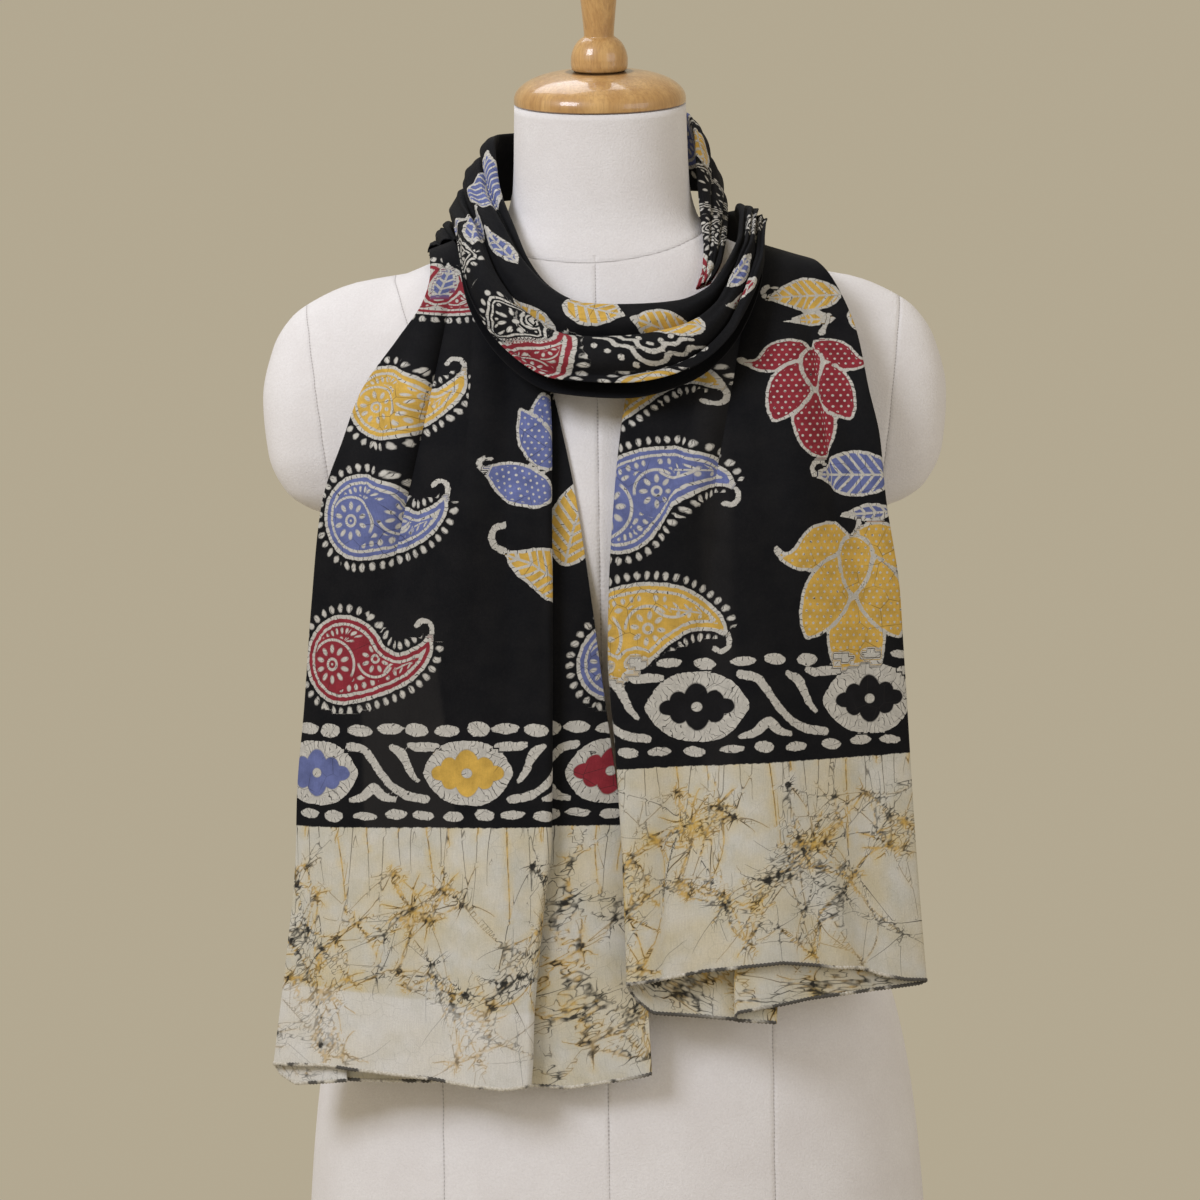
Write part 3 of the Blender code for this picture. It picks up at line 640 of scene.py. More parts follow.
right_space = OVERLAP_SPACE * np.clip((OVERLAP_TOP - right_z) / OVERLAP_EASE, 0.0, 1.0)
tail_left, left, left_flat = hanging_tail(
    "tail_left", TAIL_LEFT, LEFT_RUNS, LEFT_CREASES, LEFT_CRIMPS, left_z, HEM_LEFT,
    0.0 * left_z, LEFT_MIDDLE)
tail_right, right, right_flat = hanging_tail(
    "tail_right", TAIL_RIGHT, RIGHT_RUNS, RIGHT_CREASES, RIGHT_CRIMPS, right_z, HEM_RIGHT,
    right_space, RIGHT_MIDDLE)

# %% [markdown]
# ## The sewn hems
# The cut edge is whipped over with thread, so a thin ridged cord runs along it. The
# cord follows the lowest row of the tail, and its thickness swells at each stitch.

# %% Hem cords
STITCH = 0.0023
HEM_STEP = 0.0004
HEM_THIN = 0.00085
HEM_TALL = 0.00115
HEM_UP = 0.0008


def hem_cord(name, edge, around=8):
    """An ellipse carried along the edge: thin across the cloth, taller along it, and
    larger by a wave of the length sewn and of the angle round the cord."""
    length = length_along(edge)
    print(name, "sewn length:", round(float(length[-1]), 3))
    at = np.arange(0.0, length[-1], HEM_STEP)
    path = np.stack([np.interp(at, length, edge[:, k]) for k in range(3)], axis=-1)
    rise = np.broadcast_to([0.0, 0.0, 1.0], path.shape)
    across = unit(np.cross(unit(np.gradient(path, axis=0)), rise))
    ang = np.arange(around) * 2 * math.pi / around
    swell = 1 + 0.24 * np.sin(at[:, None] * 2 * math.pi / STITCH + ang[None, :])
    swell[[0, -1]] = 0.2
    ring = (across[:, None] * (HEM_THIN * swell * np.cos(ang))[..., None]
            + rise[:, None] * (HEM_TALL * swell * np.sin(ang))[..., None])
    return grid_object(name, path[:, None] + ring + rise[:, None] * HEM_UP, closed=True,
                       caps=True)


hem_left = hem_cord("hem_left", left[0])
hem_right = hem_cord("hem_right", right[0])
for hem in (hem_left, hem_right):
    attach(hem, "root")

# %% [markdown]
# ## The wax print: shapes
# The cotton is printed in the batik way: wax lines keep the cloth white, colours fill
# the shapes, and black dye takes the rest. Each motif is a row of circles along a bent
# middle line, large at the head and small at the tip, so one short chart in millimetres
# draws a paisley, a petal, a leaf or a curl of stem.

# %% Motif charts
PAISLEY, PETAL, LEAF, WHITE, PLATE, STAR = range(6)


def shape(code, text):
    """A motif's kind and its circles."""
    return code, chart("x y r", text)


SHAPES = {
    "paisley": shape(PAISLEY, """
        0 0 24.4, 12 -5 17.2, 24 -6.8 11.8, 31 -6.4 9.4, 38 -3.6 7.7, 44 0.6 6, 48 5 4.2,
        50.6 10.6 1.6"""),
    "broad_paisley": shape(PAISLEY, """
        0 0 24.4, 11 -3 21.6, 21 -4.6 18, 30 -4.4 14.4, 38 -2 10.6, 44 1.6 7.6, 49 6.2 4.6,
        51.5 11 1.8"""),
    "zigzag": shape(WHITE, """
        -26 8.5 0.8, -19 7 1.3, -15 1.5 1.2, -9 0.5 1.3, -6 -5.5 1.2, 0 -8.5 1.5,
        6 -5.5 1.2, 9 0.5 1.3, 15 1.5 1.2, 19 7 1.3, 26 8.5 0.8"""),
    "top_petal": shape(PETAL, "0 0.5 0.4, 0.6 8 5.4, 1.2 15 8.6, 1.6 21 9.6"),
    "side_petal": shape(PETAL, """
        -4 17 4, -9 11 9.8, -14.5 3 12.8, -19 -6 10.4, -23 -14 5.4, -25 -18 2"""),
    "low_petal": shape(PETAL, """
        0 -1 0.5, 0.5 -9 10.4, 1.2 -19 16, 2 -28 14.2, 3 -36 8, 3.6 -43 1"""),
    "curled_petal": shape(PETAL, """
        -7 27 7, -12 27 10.2, -18 25.5 11, -25 21.6 8, -32 19 4.4, -38 20.2 2,
        -41.5 24 1.1"""),
    "leaf": shape(LEAF, """
        0 0 0.02, 0.16 0 0.075, 0.36 0.01 0.175, 0.56 0.015 0.235, 0.75 0.01 0.2,
        0.9 0 0.11, 1 0 0.02"""),
    "curl": shape(WHITE, "0 0 1.7, 1.5 4.5 1.5, 0 9 1.5, -4.5 10.8 1.4, -8.5 8 1.6"),
    "stalk": shape(WHITE, "0 0 1.9, 4 0.4 1.3, 8 0 1.2, 12 -0.8 1.7, 14 -0.5 2.2"),
    "oval": shape(WHITE, """
        -0.78 0 0.2, -0.45 0.03 0.43, 0 0 0.52, 0.45 -0.03 0.43, 0.78 0 0.2"""),
    "vine": shape(WHITE, """
        23 16 2.6, 31 14 2.4, 36 8 2.3, 42 -1 2.2, 50 -9.5 2.3, 59 -14 2.5, 68 -15.5 2.4"""),
    "twig": shape(WHITE, "48 15.5 1.6, 54 11.5 2.9, 57 5.5 2.3, 59.5 0 2, 63.5 -5 1.2"),
    "fork": shape(WHITE, "59 16.6 1.7, 64 15.4 2.6, 70 15.6 2.7, 76 15.4 2"),
    "bump": shape(WHITE, "22 -16 1.4, 29 -14.4 2.4, 36.5 -9 3, 42 -13.6 2.5, 49 -16 1.3"),
    "plate": shape(PLATE, """
        -22.4 0 4.6, -18 0.3 8.6, -13 0 12.8, -9 0.5 16.2, -4 0.3 18.7, 4 -0.2 18.9,
        9 0.2 16.4, 13 0 12.8, 18 0.3 8.6, 22.4 0 4.8"""),
    "petal": shape(PETAL, """
        0.02 0 0.02, 0.12 0.01 0.13, 0.3 0.02 0.23, 0.48 0.02 0.25, 0.66 0.01 0.2,
        0.82 0 0.12, 0.93 0 0.06, 1 0 0.02"""),
    "star": shape(STAR, "-0.02 0 1, 0 0 1"),
}
INK = {"yellow": (0.63, 0.395, 0.082), "blue": (0.135, 0.160, 0.345),
       "red": (0.265, 0.030, 0.042), "none": (0.0, 0.0, 0.0),
       "dark": (0.011, 0.0105, 0.012)}

# %% A motif's line and outline
def motif_line(shape, count=48):
    """A motif's circles (x, y, r), closely spaced along its chart."""
    keys = np.arange(len(shape["r"]))
    at = np.linspace(0, keys[-1], count)
    return np.stack([eased(keys, shape[name], at) for name in "xyr"], axis=-1)


def motif_outline(line):
    """Points round a chain of circles, from the tip down one side, round the head and
    back up the other side, with the length walked so far."""
    ahead = np.gradient(line[:, :2], axis=0)
    ahead /= np.maximum(np.linalg.norm(ahead, axis=1, keepdims=True), 1e-9)
    normal = np.stack([-ahead[:, 1], ahead[:, 0]], axis=-1)
    upper, lower = (line[:, :2] + k * line[:, 2:] * normal for k in (1, -1))
    start = math.atan2(normal[0, 1], normal[0, 0])
    ang = start + np.linspace(0, math.pi, 40)[1:-1]
    head = line[0, :2] + line[0, 2] * np.stack([np.cos(ang), np.sin(ang)], axis=-1)
    points = np.concatenate([upper[::-1], head, lower])
    return points, length_along(points)


# %% [markdown]
# ## The wax print: where each motif lies
# The motifs sit on the flat cloth: how far across and how far up from the hem, in
# millimetres, how they are turned and how long and wide they are. Two of the shapes are
# made of several: the hanging lotus has six petals, and a paisley's tip ends in a curl.

# %% Placing motifs
def in_frame(row, x, y):
    """A point of a motif's own frame, turned and moved to the cloth."""
    c, s = math.cos(math.radians(row[2])), math.sin(math.radians(row[2]))
    y = y * row[5]
    return row[0] + c * x - s * y, row[1] + s * x + c * y


def paisley(u, v, turn, ink, size=1.0, slim=1.0, flip=1, body="paisley"):
    """A paisley and the thin curl at its tip."""
    row = (u, v, turn, size, slim * size, flip)
    end = SHAPES[body][1]
    tip = in_frame(row, end["x"][-1] * size, end["y"][-1] * size)
    return [(*tip, turn, 1.0, 1.0, flip, "curl", "none"), (*row, body, ink)]


def chevron(u, v, turn, size=1.0):
    """Two stepped lines bent like a V, with dots between them and outside."""
    row = (u, v, turn, size, size, 1)
    rows = [(*in_frame(row, 0, 0), turn, size, 1, 1, "zigzag", "none"),
            (*in_frame(row, 0, 5.4), turn, 0.78 * size, 1, 1, "zigzag", "none")]
    for i in range(-4, 5):
        rise = abs(i) * 4.1 - 15.0
        tilt = turn + 70 * np.sign(i)
        rows.append((*in_frame(row, 6.2 * i * size, rise), tilt, 2.1, 2.7, 1, "oval", "none"))
        if abs(i) < 3:
            rows.append((*in_frame(row, 5.0 * i * size, rise + 19.0), tilt, 1.8, 2.4, 1, "oval",
                         "none"))
    return rows


def leaf(u, v, turn, length, width, ink, curl=0):
    """A pointed leaf, drawn from its tip. curl is 1 or -1 where its tip ends in a hook."""
    rows = [(u, v, turn, length, width / 0.47, 1, "leaf", ink)]
    if curl:
        rows.append((u, v, turn + 180, 0.8, 0.9, curl, "curl", "none"))
    return rows


def lotus(u, v, turn, ink, size=1.0):
    """Six petals about the point where they meet, the top one last because it lies over
    the others."""
    rows = []
    for shape, side in (("curled_petal", 1), ("curled_petal", -1), ("low_petal", 1),
                        ("side_petal", 1), ("side_petal", -1), ("top_petal", 1)):
        rows.append((u, v, turn, side * size, size, 1, shape, ink))
    return rows


def star(u, v, turn, size):
    """A square medallion with dots, white on black."""
    return [(u, v, turn, size, size, 1, "star", "none")]


# %% Rows of motifs
def dashes(first, last, step, up, slope, long, high):
    """A row of white ovals, no two quite alike."""
    rows, u, i = [], first, 0
    while u < last:
        grow = 1 + 0.16 * math.sin(2.7 * i + first) + 0.09 * math.sin(5.1 * i)
        rows.append((u, up + slope * u + 0.7 * math.sin(1.9 * i), 4 * math.sin(3.3 * i),
                     long * grow, high * (2 - grow), 1, "oval", "none"))
        u, i = u + step * (1 + 0.10 * math.sin(4.3 * i)), i + 1
    return rows


def strew(first, count, step, u, inks, kinds):
    """Paisleys and leaves in a row along the cloth, for the stretches that lie behind."""
    rows = []
    for i in range(count):
        v, ink = first + i * step, inks[i % len(inks)]
        rows += (paisley(u, v, 70 - 40 * (i % 3), ink) if kinds[i % len(kinds)] == "paisley"
                 else leaf(u, v, 80 - 50 * (i % 2), 34, 17, ink, 1))
    return rows


CHART_PERIOD = 94.0                   # between two plates, as the shapes are charted


def border(first, period, inks, middle, slope, turns):
    """Plates with stepped flowers, and between them a vine, a twig, a fork and a
    three-sided bump. A turn of -1 mirrors the gap that follows a plate."""
    rows, size = [], period / CHART_PERIOD
    for i, (ink, side) in enumerate(zip(inks, turns)):
        u = first + i * period
        v, tilt = middle + slope * u, math.degrees(math.atan(slope))
        start = u if side > 0 else u + period
        for shape in ("vine", "twig", "fork", "bump"):
            rows.append((start, v, tilt, side * size, 1.0, 1, shape, "none"))
        rows.append((u, v, tilt, size, 0.5 + 0.5 * size, 1, "plate", ink))
    return rows


# %% The left tail's motifs
LEFT_MOTIFS = (
    paisley(-52, 410, 9, "yellow") + paisley(-67, 338, -1, "blue", 1.07)
    + paisley(-78, 253, 1, "red", 1.09) + paisley(-24, 496, -20, "red")
    + leaf(-8, 517, -110, 32, 14, "blue")
    + [(54, 384, 103, 30, 40, 1, "petal", "blue"), (52, 349, 157, 44, 50, 1, "petal", "blue"),
       (53, 366, 117, 42, 42, 1, "petal", "blue"), (12, 365, 200, 0.7, 0.8, -1, "curl", "none")]
    + leaf(23, 316, -28, 56, 29, "yellow") + [(24, 316, 48, -1.35, 1.25, 1, "curl", "none")]
    + leaf(304, 372, -100, 64, 34, "yellow") + paisley(329, 251, 4, "blue", 1.0)
    + lotus(200, 330, 0, "red") + lotus(130, 300, 20, "blue") + paisley(150, 410, 12, "red")
    + paisley(225, 430, 190, "yellow") + leaf(105, 240, 160, 44, 22, "yellow", 1)
    + paisley(180, 250, 10, "yellow") + lotus(290, 430, 0, "blue")
    + leaf(240, 520, 0, 40, 20, "red", 1)
    + border(-96.5, 94.6, ("blue", "yellow"), 185.5, 0.0, (1, -1))
    + border(143.8, 94.6, ("yellow", "blue", "red"), 185.5, 0.0, (1, -1, 1))
    + dashes(-120, 400, 18.3, 160.3, 0.0, 7.4, 5.6)
    + dashes(-121, 400, 18.0, 211.3, 0.0, 8.0, 7.0))

# %% The right tail's motifs
RIGHT_MOTIFS = (
    paisley(-88, 351, 10, "yellow", 1.33, 0.85, -1, "broad_paisley")
    + paisley(-80, 273, 22, "blue", 1.33, 0.85, -1, "broad_paisley")
    + paisley(-87, 195, 15, "yellow", 1.33, 0.85, -1, "broad_paisley")
    + leaf(13, 415, 5, 49, 26, "yellow", -1) + leaf(23, 397, 3, 36, 11, "yellow")
    + leaf(82, 384, 118, 26, 13, "yellow") + lotus(40, 345, 1, "red")
    + [(55, 402, -104, 1.1, 0.9, 1, "stalk", "none")]
    + leaf(38, 291, -1, 54, 28, "blue", -1) + leaf(58, 266, 3, 34, 10, "blue")
    + [(70, 262, -110, 0.7, 0.9, 1, "stalk", "none")]
    + lotus(64, 217, -1, "yellow", 1.20)
    + paisley(120, 300, 10, "red") + lotus(170, 230, 0, "blue") + paisley(205, 300, 170, "yellow")
    + lotus(-170, 330, 0, "red") + paisley(-190, 220, 5, "blue")
    + leaf(-130, 260, 30, 40, 20, "yellow", 1)
    + leaf(30, 466, 62, 38, 20, "blue", 1) + leaf(26, 520, -70, 34, 16, "red")
    + border(-141.8, 107.8, ("dark", "dark", "dark", "dark", "dark"), 155.3, 0.02,
             (1, 1, -1, 1, -1))
    + dashes(-220, 240, 20.6, 129.8, 0.027, 7.4, 5.4)
    + dashes(-215, 240, 20.8, 181.2, 0.015, 7.6, 5.9))

# %% The strip's motifs
STRIP_MOTIFS = (
    strew(60, 3, 82, 96, ("red", "yellow", "blue"), ("paisley", "leaf", "paisley"))
    + strew(110, 3, 70, 40, ("yellow", "blue", "red"), ("leaf", "paisley"))
    + strew(690, 5, 62, 104, ("blue", "yellow", "red"), ("paisley", "leaf"))
    + strew(720, 4, 70, 40, ("red", "yellow"), ("leaf", "leaf"))
    + leaf(52, 350, 92, 54, 32, "blue") + leaf(62, 402, 50, 44, 17, "blue")
    + leaf(66, 425, 85, 34, 12, "blue") + leaf(78, 408, 15, 40, 12, "blue")
    + leaf(92, 470, 62, 34, 16, "yellow") + leaf(90, 532, -106, 32, 24, "yellow")
    + leaf(92, 537, 80, 34, 26, "yellow") + star(116, 484, 20, 15) + chevron(122, 546, 92)
    + paisley(140, 498, 165, "red", 0.66) + paisley(158, 552, 40, "yellow", 0.9)
    + leaf(168, 468, 60, 30, 14, "yellow") + star(174, 520, 10, 9)
    + leaf(165, 592, 120, 34, 16, "blue") + star(40, 92, 0, 22) + star(34, 48, 30, 13)
    + leaf(14, 28, -80, 30, 17, "yellow") + paisley(4, 4, 90, "red", 0.8)
    + leaf(66, 628, -80, 30, 14, "blue") + star(52, 655, 10, 11)
    + leaf(116, 610, 30, 30, 14, "yellow")
    + star(104, 436, 0, 11) + leaf(84, 590, 75, 30, 12, "red"))
print("motifs:", len(LEFT_MOTIFS), len(RIGHT_MOTIFS), len(STRIP_MOTIFS))

# %% [markdown]
# ## The wax print: distances on the cloth
# For each point of the cloth the nearest motif is found. The point keeps how far it is
# from that motif's edge (less than nothing inside), how far round the edge it lies, its
# place in the motif's own frame, and the colour. They change slowly, so the shader can
# draw sharp lines from them between the mesh's points.

# %% From places to print values
REACH = 9.0                           # how far outside a motif its edge is measured
FAR = 30.0                            # the edge distance where no motif is near


def segment_values(points, outline, walked):
    """Length walked along the outline to the spot nearest each point."""
    gap = ((points[:, None] - outline[None, :-1]) ** 2).sum(axis=2)
    i = gap.argmin(axis=1)
    along = np.diff(outline, axis=0)
    size = np.maximum(np.linalg.norm(along, axis=1), 1e-9)
    step = ((points - outline[i]) * along[i]).sum(axis=1) / size[i]
    return walked[i] + step


def print_values(flat, motifs):
    """Edge distance, edge length, kind, own place, size and colour for each flat point,
    all in millimetres. A motif lies over the ones before it: inside it, its own edge
    distance counts; just outside it, a motif underneath ends where it begins."""
    points = flat.reshape(-1, 2) * 1000
    count = len(points)
    edge, bead, kind = np.full(count, FAR), np.zeros(count), np.zeros(count)
    place, tint = np.zeros((count, 3)), np.zeros((count, 3))
    for u, v, turn, length, width, flip, shape, ink in motifs:
        code, rows = SHAPES[shape]
        c, s = math.cos(math.radians(turn)), math.sin(math.radians(turn))
        x = (points[:, 0] - u) * c + (points[:, 1] - v) * s
        y = (-(points[:, 0] - u) * s + (points[:, 1] - v) * c) * flip
        x, size = x * np.sign(length), abs(length)
        line = motif_line(rows) * np.array([size, size, width])
        low, high = line[:, :2].min(axis=0), line[:, :2].max(axis=0)
        room = line[:, 2].max() + REACH
        near = np.nonzero((x > low[0] - room) & (x < high[0] + room)
                          & (y > low[1] - room) & (y < high[1] + room))[0]
        if not len(near):
            continue
        own = np.stack([x[near], y[near]], axis=-1)
        if code == STAR:
            around = np.arctan2(own[:, 1], own[:, 0])
            away = np.linalg.norm(own, axis=1)
            distance = away - width * (1 + 0.12 * np.cos(4 * around + math.pi)
                                       + 0.05 * np.cos(8 * around))
            walked = around * width
        else:
            distance = (np.linalg.norm(own[:, None] - line[None, :, :2], axis=2)
                        - line[None, :, 2]).min(axis=1)
            walked = segment_values(own, *motif_outline(line))
        before = edge[near]
        wins = (distance < 0) | ((before >= 0) & (distance < before))
        under = near[~wins & (before < 0)]
        edge[under] = np.maximum(edge[under], -distance[~wins & (before < 0)])
        hit = near[wins]
        edge[hit], bead[hit], kind[hit] = distance[wins], walked[wins], code
        place[hit, :2], place[hit, 2] = own[wins] / (size if code == PAISLEY else 1), width
        tint[hit] = INK[ink]
    return np.stack([edge, bead, kind], axis=-1), place, tint


# %% Numbers stored on the mesh
def store(obj, name, values):
    """Three numbers for each point of the mesh, kept as a named attribute."""
    layer = obj.data.attributes.new(name, "FLOAT_VECTOR", "POINT")
    layer.data.foreach_set("vector", values.astype(np.float32).ravel())


def print_on(obj, flat, motifs):
    """The print's values stored on a piece of cloth."""
    motif, place, tint = print_values(flat, motifs)
    store(obj, "motif", motif)
    store(obj, "place", place)
    store(obj, "tint", tint)


# %% [markdown]
# ## The cracks in the wax
# The cream end was covered with wax and crumpled, so the dye crept in along cracks. They
# run from knot to knot. Each is a bent row of points with a half-width at each point and
# a share of yellow. All sizes are in millimetres.

# %% The knots and the lines between them
SCATTER = 43758.5453                  # large, so that neighbouring fractions differ
ALONG = np.linspace(0.0, 1.0, 9)[:, None]
DROP_SPACING = 4.5


def strewn(number, key):
    """Uneven fractions between 0 and 1, the same in each run: what is left after the
    point of a large multiple of sin(key * n)."""
    return np.mod(np.sin((np.arange(number) + 1.0) * key) * SCATTER, 1.0)


def bowed(start, stop, bow):
    """Points from start to stop, pushed aside by bow times the way, most in the middle."""
    way = stop - start
    return start + ALONG * way + np.array([-way[1], way[0]]) * bow * np.sin(math.pi * ALONG)


def ray(start, turn, reach, curl):
    """Points that leave the start at an angle and bend by curl radians on the way."""
    bend = turn + curl * ALONG[:, 0]
    return start + reach * ALONG * np.stack([np.cos(bend), np.sin(bend)], axis=-1)


def crack_lines(u_from, u_to, top, spacing=20.5):
    """Knots strewn over the cream end, bowed cracks from each to its neighbours, short
    rays and long hairs round each knot, a few longer cracks, and thin drops that hang
    from the black edge."""
    number = int((u_to - u_from) * top / spacing ** 2)
    knots = np.stack([u_from + (u_to - u_from) * strewn(number, 12.9898),
                      top * (0.01 + 0.86 * strewn(number, 78.233))], axis=-1)
    size = 0.35 + 0.95 * strewn(number, 39.425) ** 2
    yellow = smoothstep(0.56, 0.86, strewn(number, 27.168) + 0.22 * knots[:, 1] / top)
    lines, share = [], ALONG[:, 0]
    apart = np.linalg.norm(knots[:, None] - knots[None], axis=2)
    for i in range(number):
        for n, j in enumerate(np.argsort(apart[i])[[1, 2, 4, 6 + i % 5]]):
            if (i * 7 + n * 3) % 6 == 0:
                continue
            points = bowed(knots[i], knots[j], 0.13 * math.sin(5.3 * i + 2.1 * n))
            wide = (0.12 + 0.30 * np.abs(1 - 2 * share) ** 3.0) * size[i] ** 0.5
            lines.append((points, wide, max(yellow[i], 0.5 * yellow[j])))
        rays = 5 + (i * 5) % 4
        for n in range(rays):
            ang = 2 * math.pi * (n + 0.35 * math.sin(3.7 * n + i)) / rays + i
            reach = (4.0 + 20.0 * abs(math.sin(1.7 * i + 2.9 * n)) ** 3) * size[i]
            points = ray(knots[i], ang, reach, 0.35 * math.sin(2.3 * i + n))
            lines.append((points, (0.40 - 0.34 * share) * size[i] ** 0.5, yellow[i]))
        for n in range(2):
            ang = 5.1 * math.sin(9.1 * i + 4.7 * n)
            reach = 14.0 + 22.0 * abs(math.sin(3.3 * i + 1.9 * n)) ** 2
            points = ray(knots[i], ang, reach, 0.22 * math.sin(1.9 * i + n))
            lines.append((points, 0.17 - 0.10 * share, 0.3 * yellow[i]))
    for i in range(0, number, 2):
        points = bowed(knots[i], knots[np.argsort(apart[i])[9 + i % 9]],
                       0.06 * math.sin(3.1 * i))
        lines.append((points, 0.19 + 0.07 * np.cos(9 * share), yellow[i] * 0.4))
    for i in range(int((u_to - u_from) / DROP_SPACING)):
        u = u_from + (i + 0.6 * math.sin(2.9 * i)) * DROP_SPACING
        reach = 5.0 + 52.0 * abs(math.sin(1.3 * i + 0.7)) ** 4
        lean = 0.10 * math.sin(4.1 * i)
        points = np.stack([u + reach * share * lean + np.sin(3 * share + i),
                           top + 4 - (reach + 4) * share], axis=-1)
        lines.append((points, 0.24 - 0.16 * share, 1.0 if i % 4 == 1 else 0.15))
    return knots, size, yellow, lines


# %% The nearest crack to each point
NO_CRACK = 25.0
CRACK_REACH = 7.0


def nearest_crack(points, lines):
    """Signed and plain distance to the nearest crack, its half-width and its yellow."""
    best = np.full(len(points), NO_CRACK)
    signed, wide, yellow = best.copy(), np.zeros(len(points)), np.zeros(len(points))
    for row, half, tone in lines:
        low, high = row.min(axis=0) - CRACK_REACH, row.max(axis=0) + CRACK_REACH
        near = np.nonzero(((points > low) & (points < high)).all(axis=1))[0]
        if not len(near):
            continue
        start, way = row[:-1], np.diff(row, axis=0)
        off = points[near, None] - start[None]
        share = np.clip((off * way).sum(axis=2) / np.maximum((way ** 2).sum(axis=1), 1e-9), 0, 1)
        gap = np.linalg.norm(off - share[..., None] * way, axis=2)
        pick = gap.argmin(axis=1)
        rows = np.arange(len(near))
        distance, at = gap[rows, pick], share[rows, pick]
        turn = np.sign(way[pick, 0] * off[rows, pick, 1] - way[pick, 1] * off[rows, pick, 0])
        closer = distance < best[near]
        hit = near[closer]
        best[hit] = distance[closer]
        signed[hit] = (distance * np.where(turn == 0, 1, turn))[closer]
        wide[hit] = (half[pick] * (1 - at) + half[pick + 1] * at)[closer]
        yellow[hit] = tone
    return signed, best, wide, yellow


def lay_cracks(obj, flat, up, light_through, single):
    """The cracks and the stains round their knots, stored with the height above the
    black edge, how much painted light comes through the black cloth, and where the cloth is
    single."""
    points = flat.reshape(-1, 2) * 1000
    up = up.reshape(-1)
    signed, plain, wide, yellow = np.full((4, len(points)), NO_CRACK)
    dark, warm = np.zeros((2, len(points)))
    cream = np.nonzero(up < 3.0)[0]
    top = float(points[cream, 1].max()) - 2.0
    knots, size, tone, lines = crack_lines(points[:, 0].min(), points[:, 0].max(), top)
    signed[cream], plain[cream], wide[cream], yellow[cream] = nearest_crack(points[cream],
                                                                            lines)
    away = np.linalg.norm(points[cream, None] - knots[None], axis=2)
    dark[cream] = (np.exp(-(away / 2.6) ** 2) * size * (1 - 0.8 * tone)).max(axis=1)
    warm[cream] = (np.exp(-away / 4.8) * (0.30 + tone) * size).sum(axis=1)
    store(obj, "vein", np.stack([signed, plain, wide], axis=-1))
    store(obj, "stain", np.stack([dark, warm, yellow], axis=-1))
    store(obj, "band", np.stack([light_through.reshape(-1), up, single.reshape(-1)], axis=-1))
    print(obj.name, "knots", len(knots), "cracks", len(lines))


# %% Print and cracks laid on the cloth
LEFT_EDGE = 153.0                     # up from the hem to where the black begins
RIGHT_EDGE, RIGHT_EDGE_SLOPE = 120.6, 0.027
FAR_UP = 500.0


def between(x, low, high, soft=1.2):
    """1 between low and high, with soft edges."""
    return smoothstep(low - soft, low + soft, x) * smoothstep(high + soft, high - soft, x)


u, v = left_flat[..., 0] * 1000, left_flat[..., 1] * 1000
# painted light: where light comes through the thin black cloth of the left tail, its ground is
# painted paler
light_through = between(u, -66.0, -9.0 - 0.10 * (v - LEFT_EDGE)) * smoothstep(310, 190, v)
single = smoothstep(1.0, -1.0, v - 52.0 + 0.055 * (u + 110)) * (u < 80)
print_on(tail_left, left_flat, LEFT_MOTIFS)
lay_cracks(tail_left, left_flat, v - LEFT_EDGE, light_through, single)
u, v = right_flat[..., 0] * 1000, right_flat[..., 1] * 1000
# painted light: a paler stripe painted on the right tail's black ground, where light comes
# through the cloth
light_through = between(u, -30.0, -12.0, 4.0) * 0.5
print_on(tail_right, right_flat, RIGHT_MOTIFS)
lay_cracks(tail_right, right_flat, v - RIGHT_EDGE - RIGHT_EDGE_SLOPE * u, light_through, 0.0 * u)
for piece, (_, start, stop, _) in zip((cowl, back_inner, back_outer), STRETCHES):
    keep = stretch(start, stop)
    print_on(piece, strip_flat[keep], STRIP_MOTIFS)
    store(piece, "band", np.tile([0.0, FAR_UP, 0.0], (keep.sum() * STRIP_ACROSS, 1)))
print("the print is laid on five pieces")

# %% [markdown]
# ## Shader sums as plain expressions
# A small class wraps a socket, so that 1 - mask or a * b + c adds the nodes it needs.

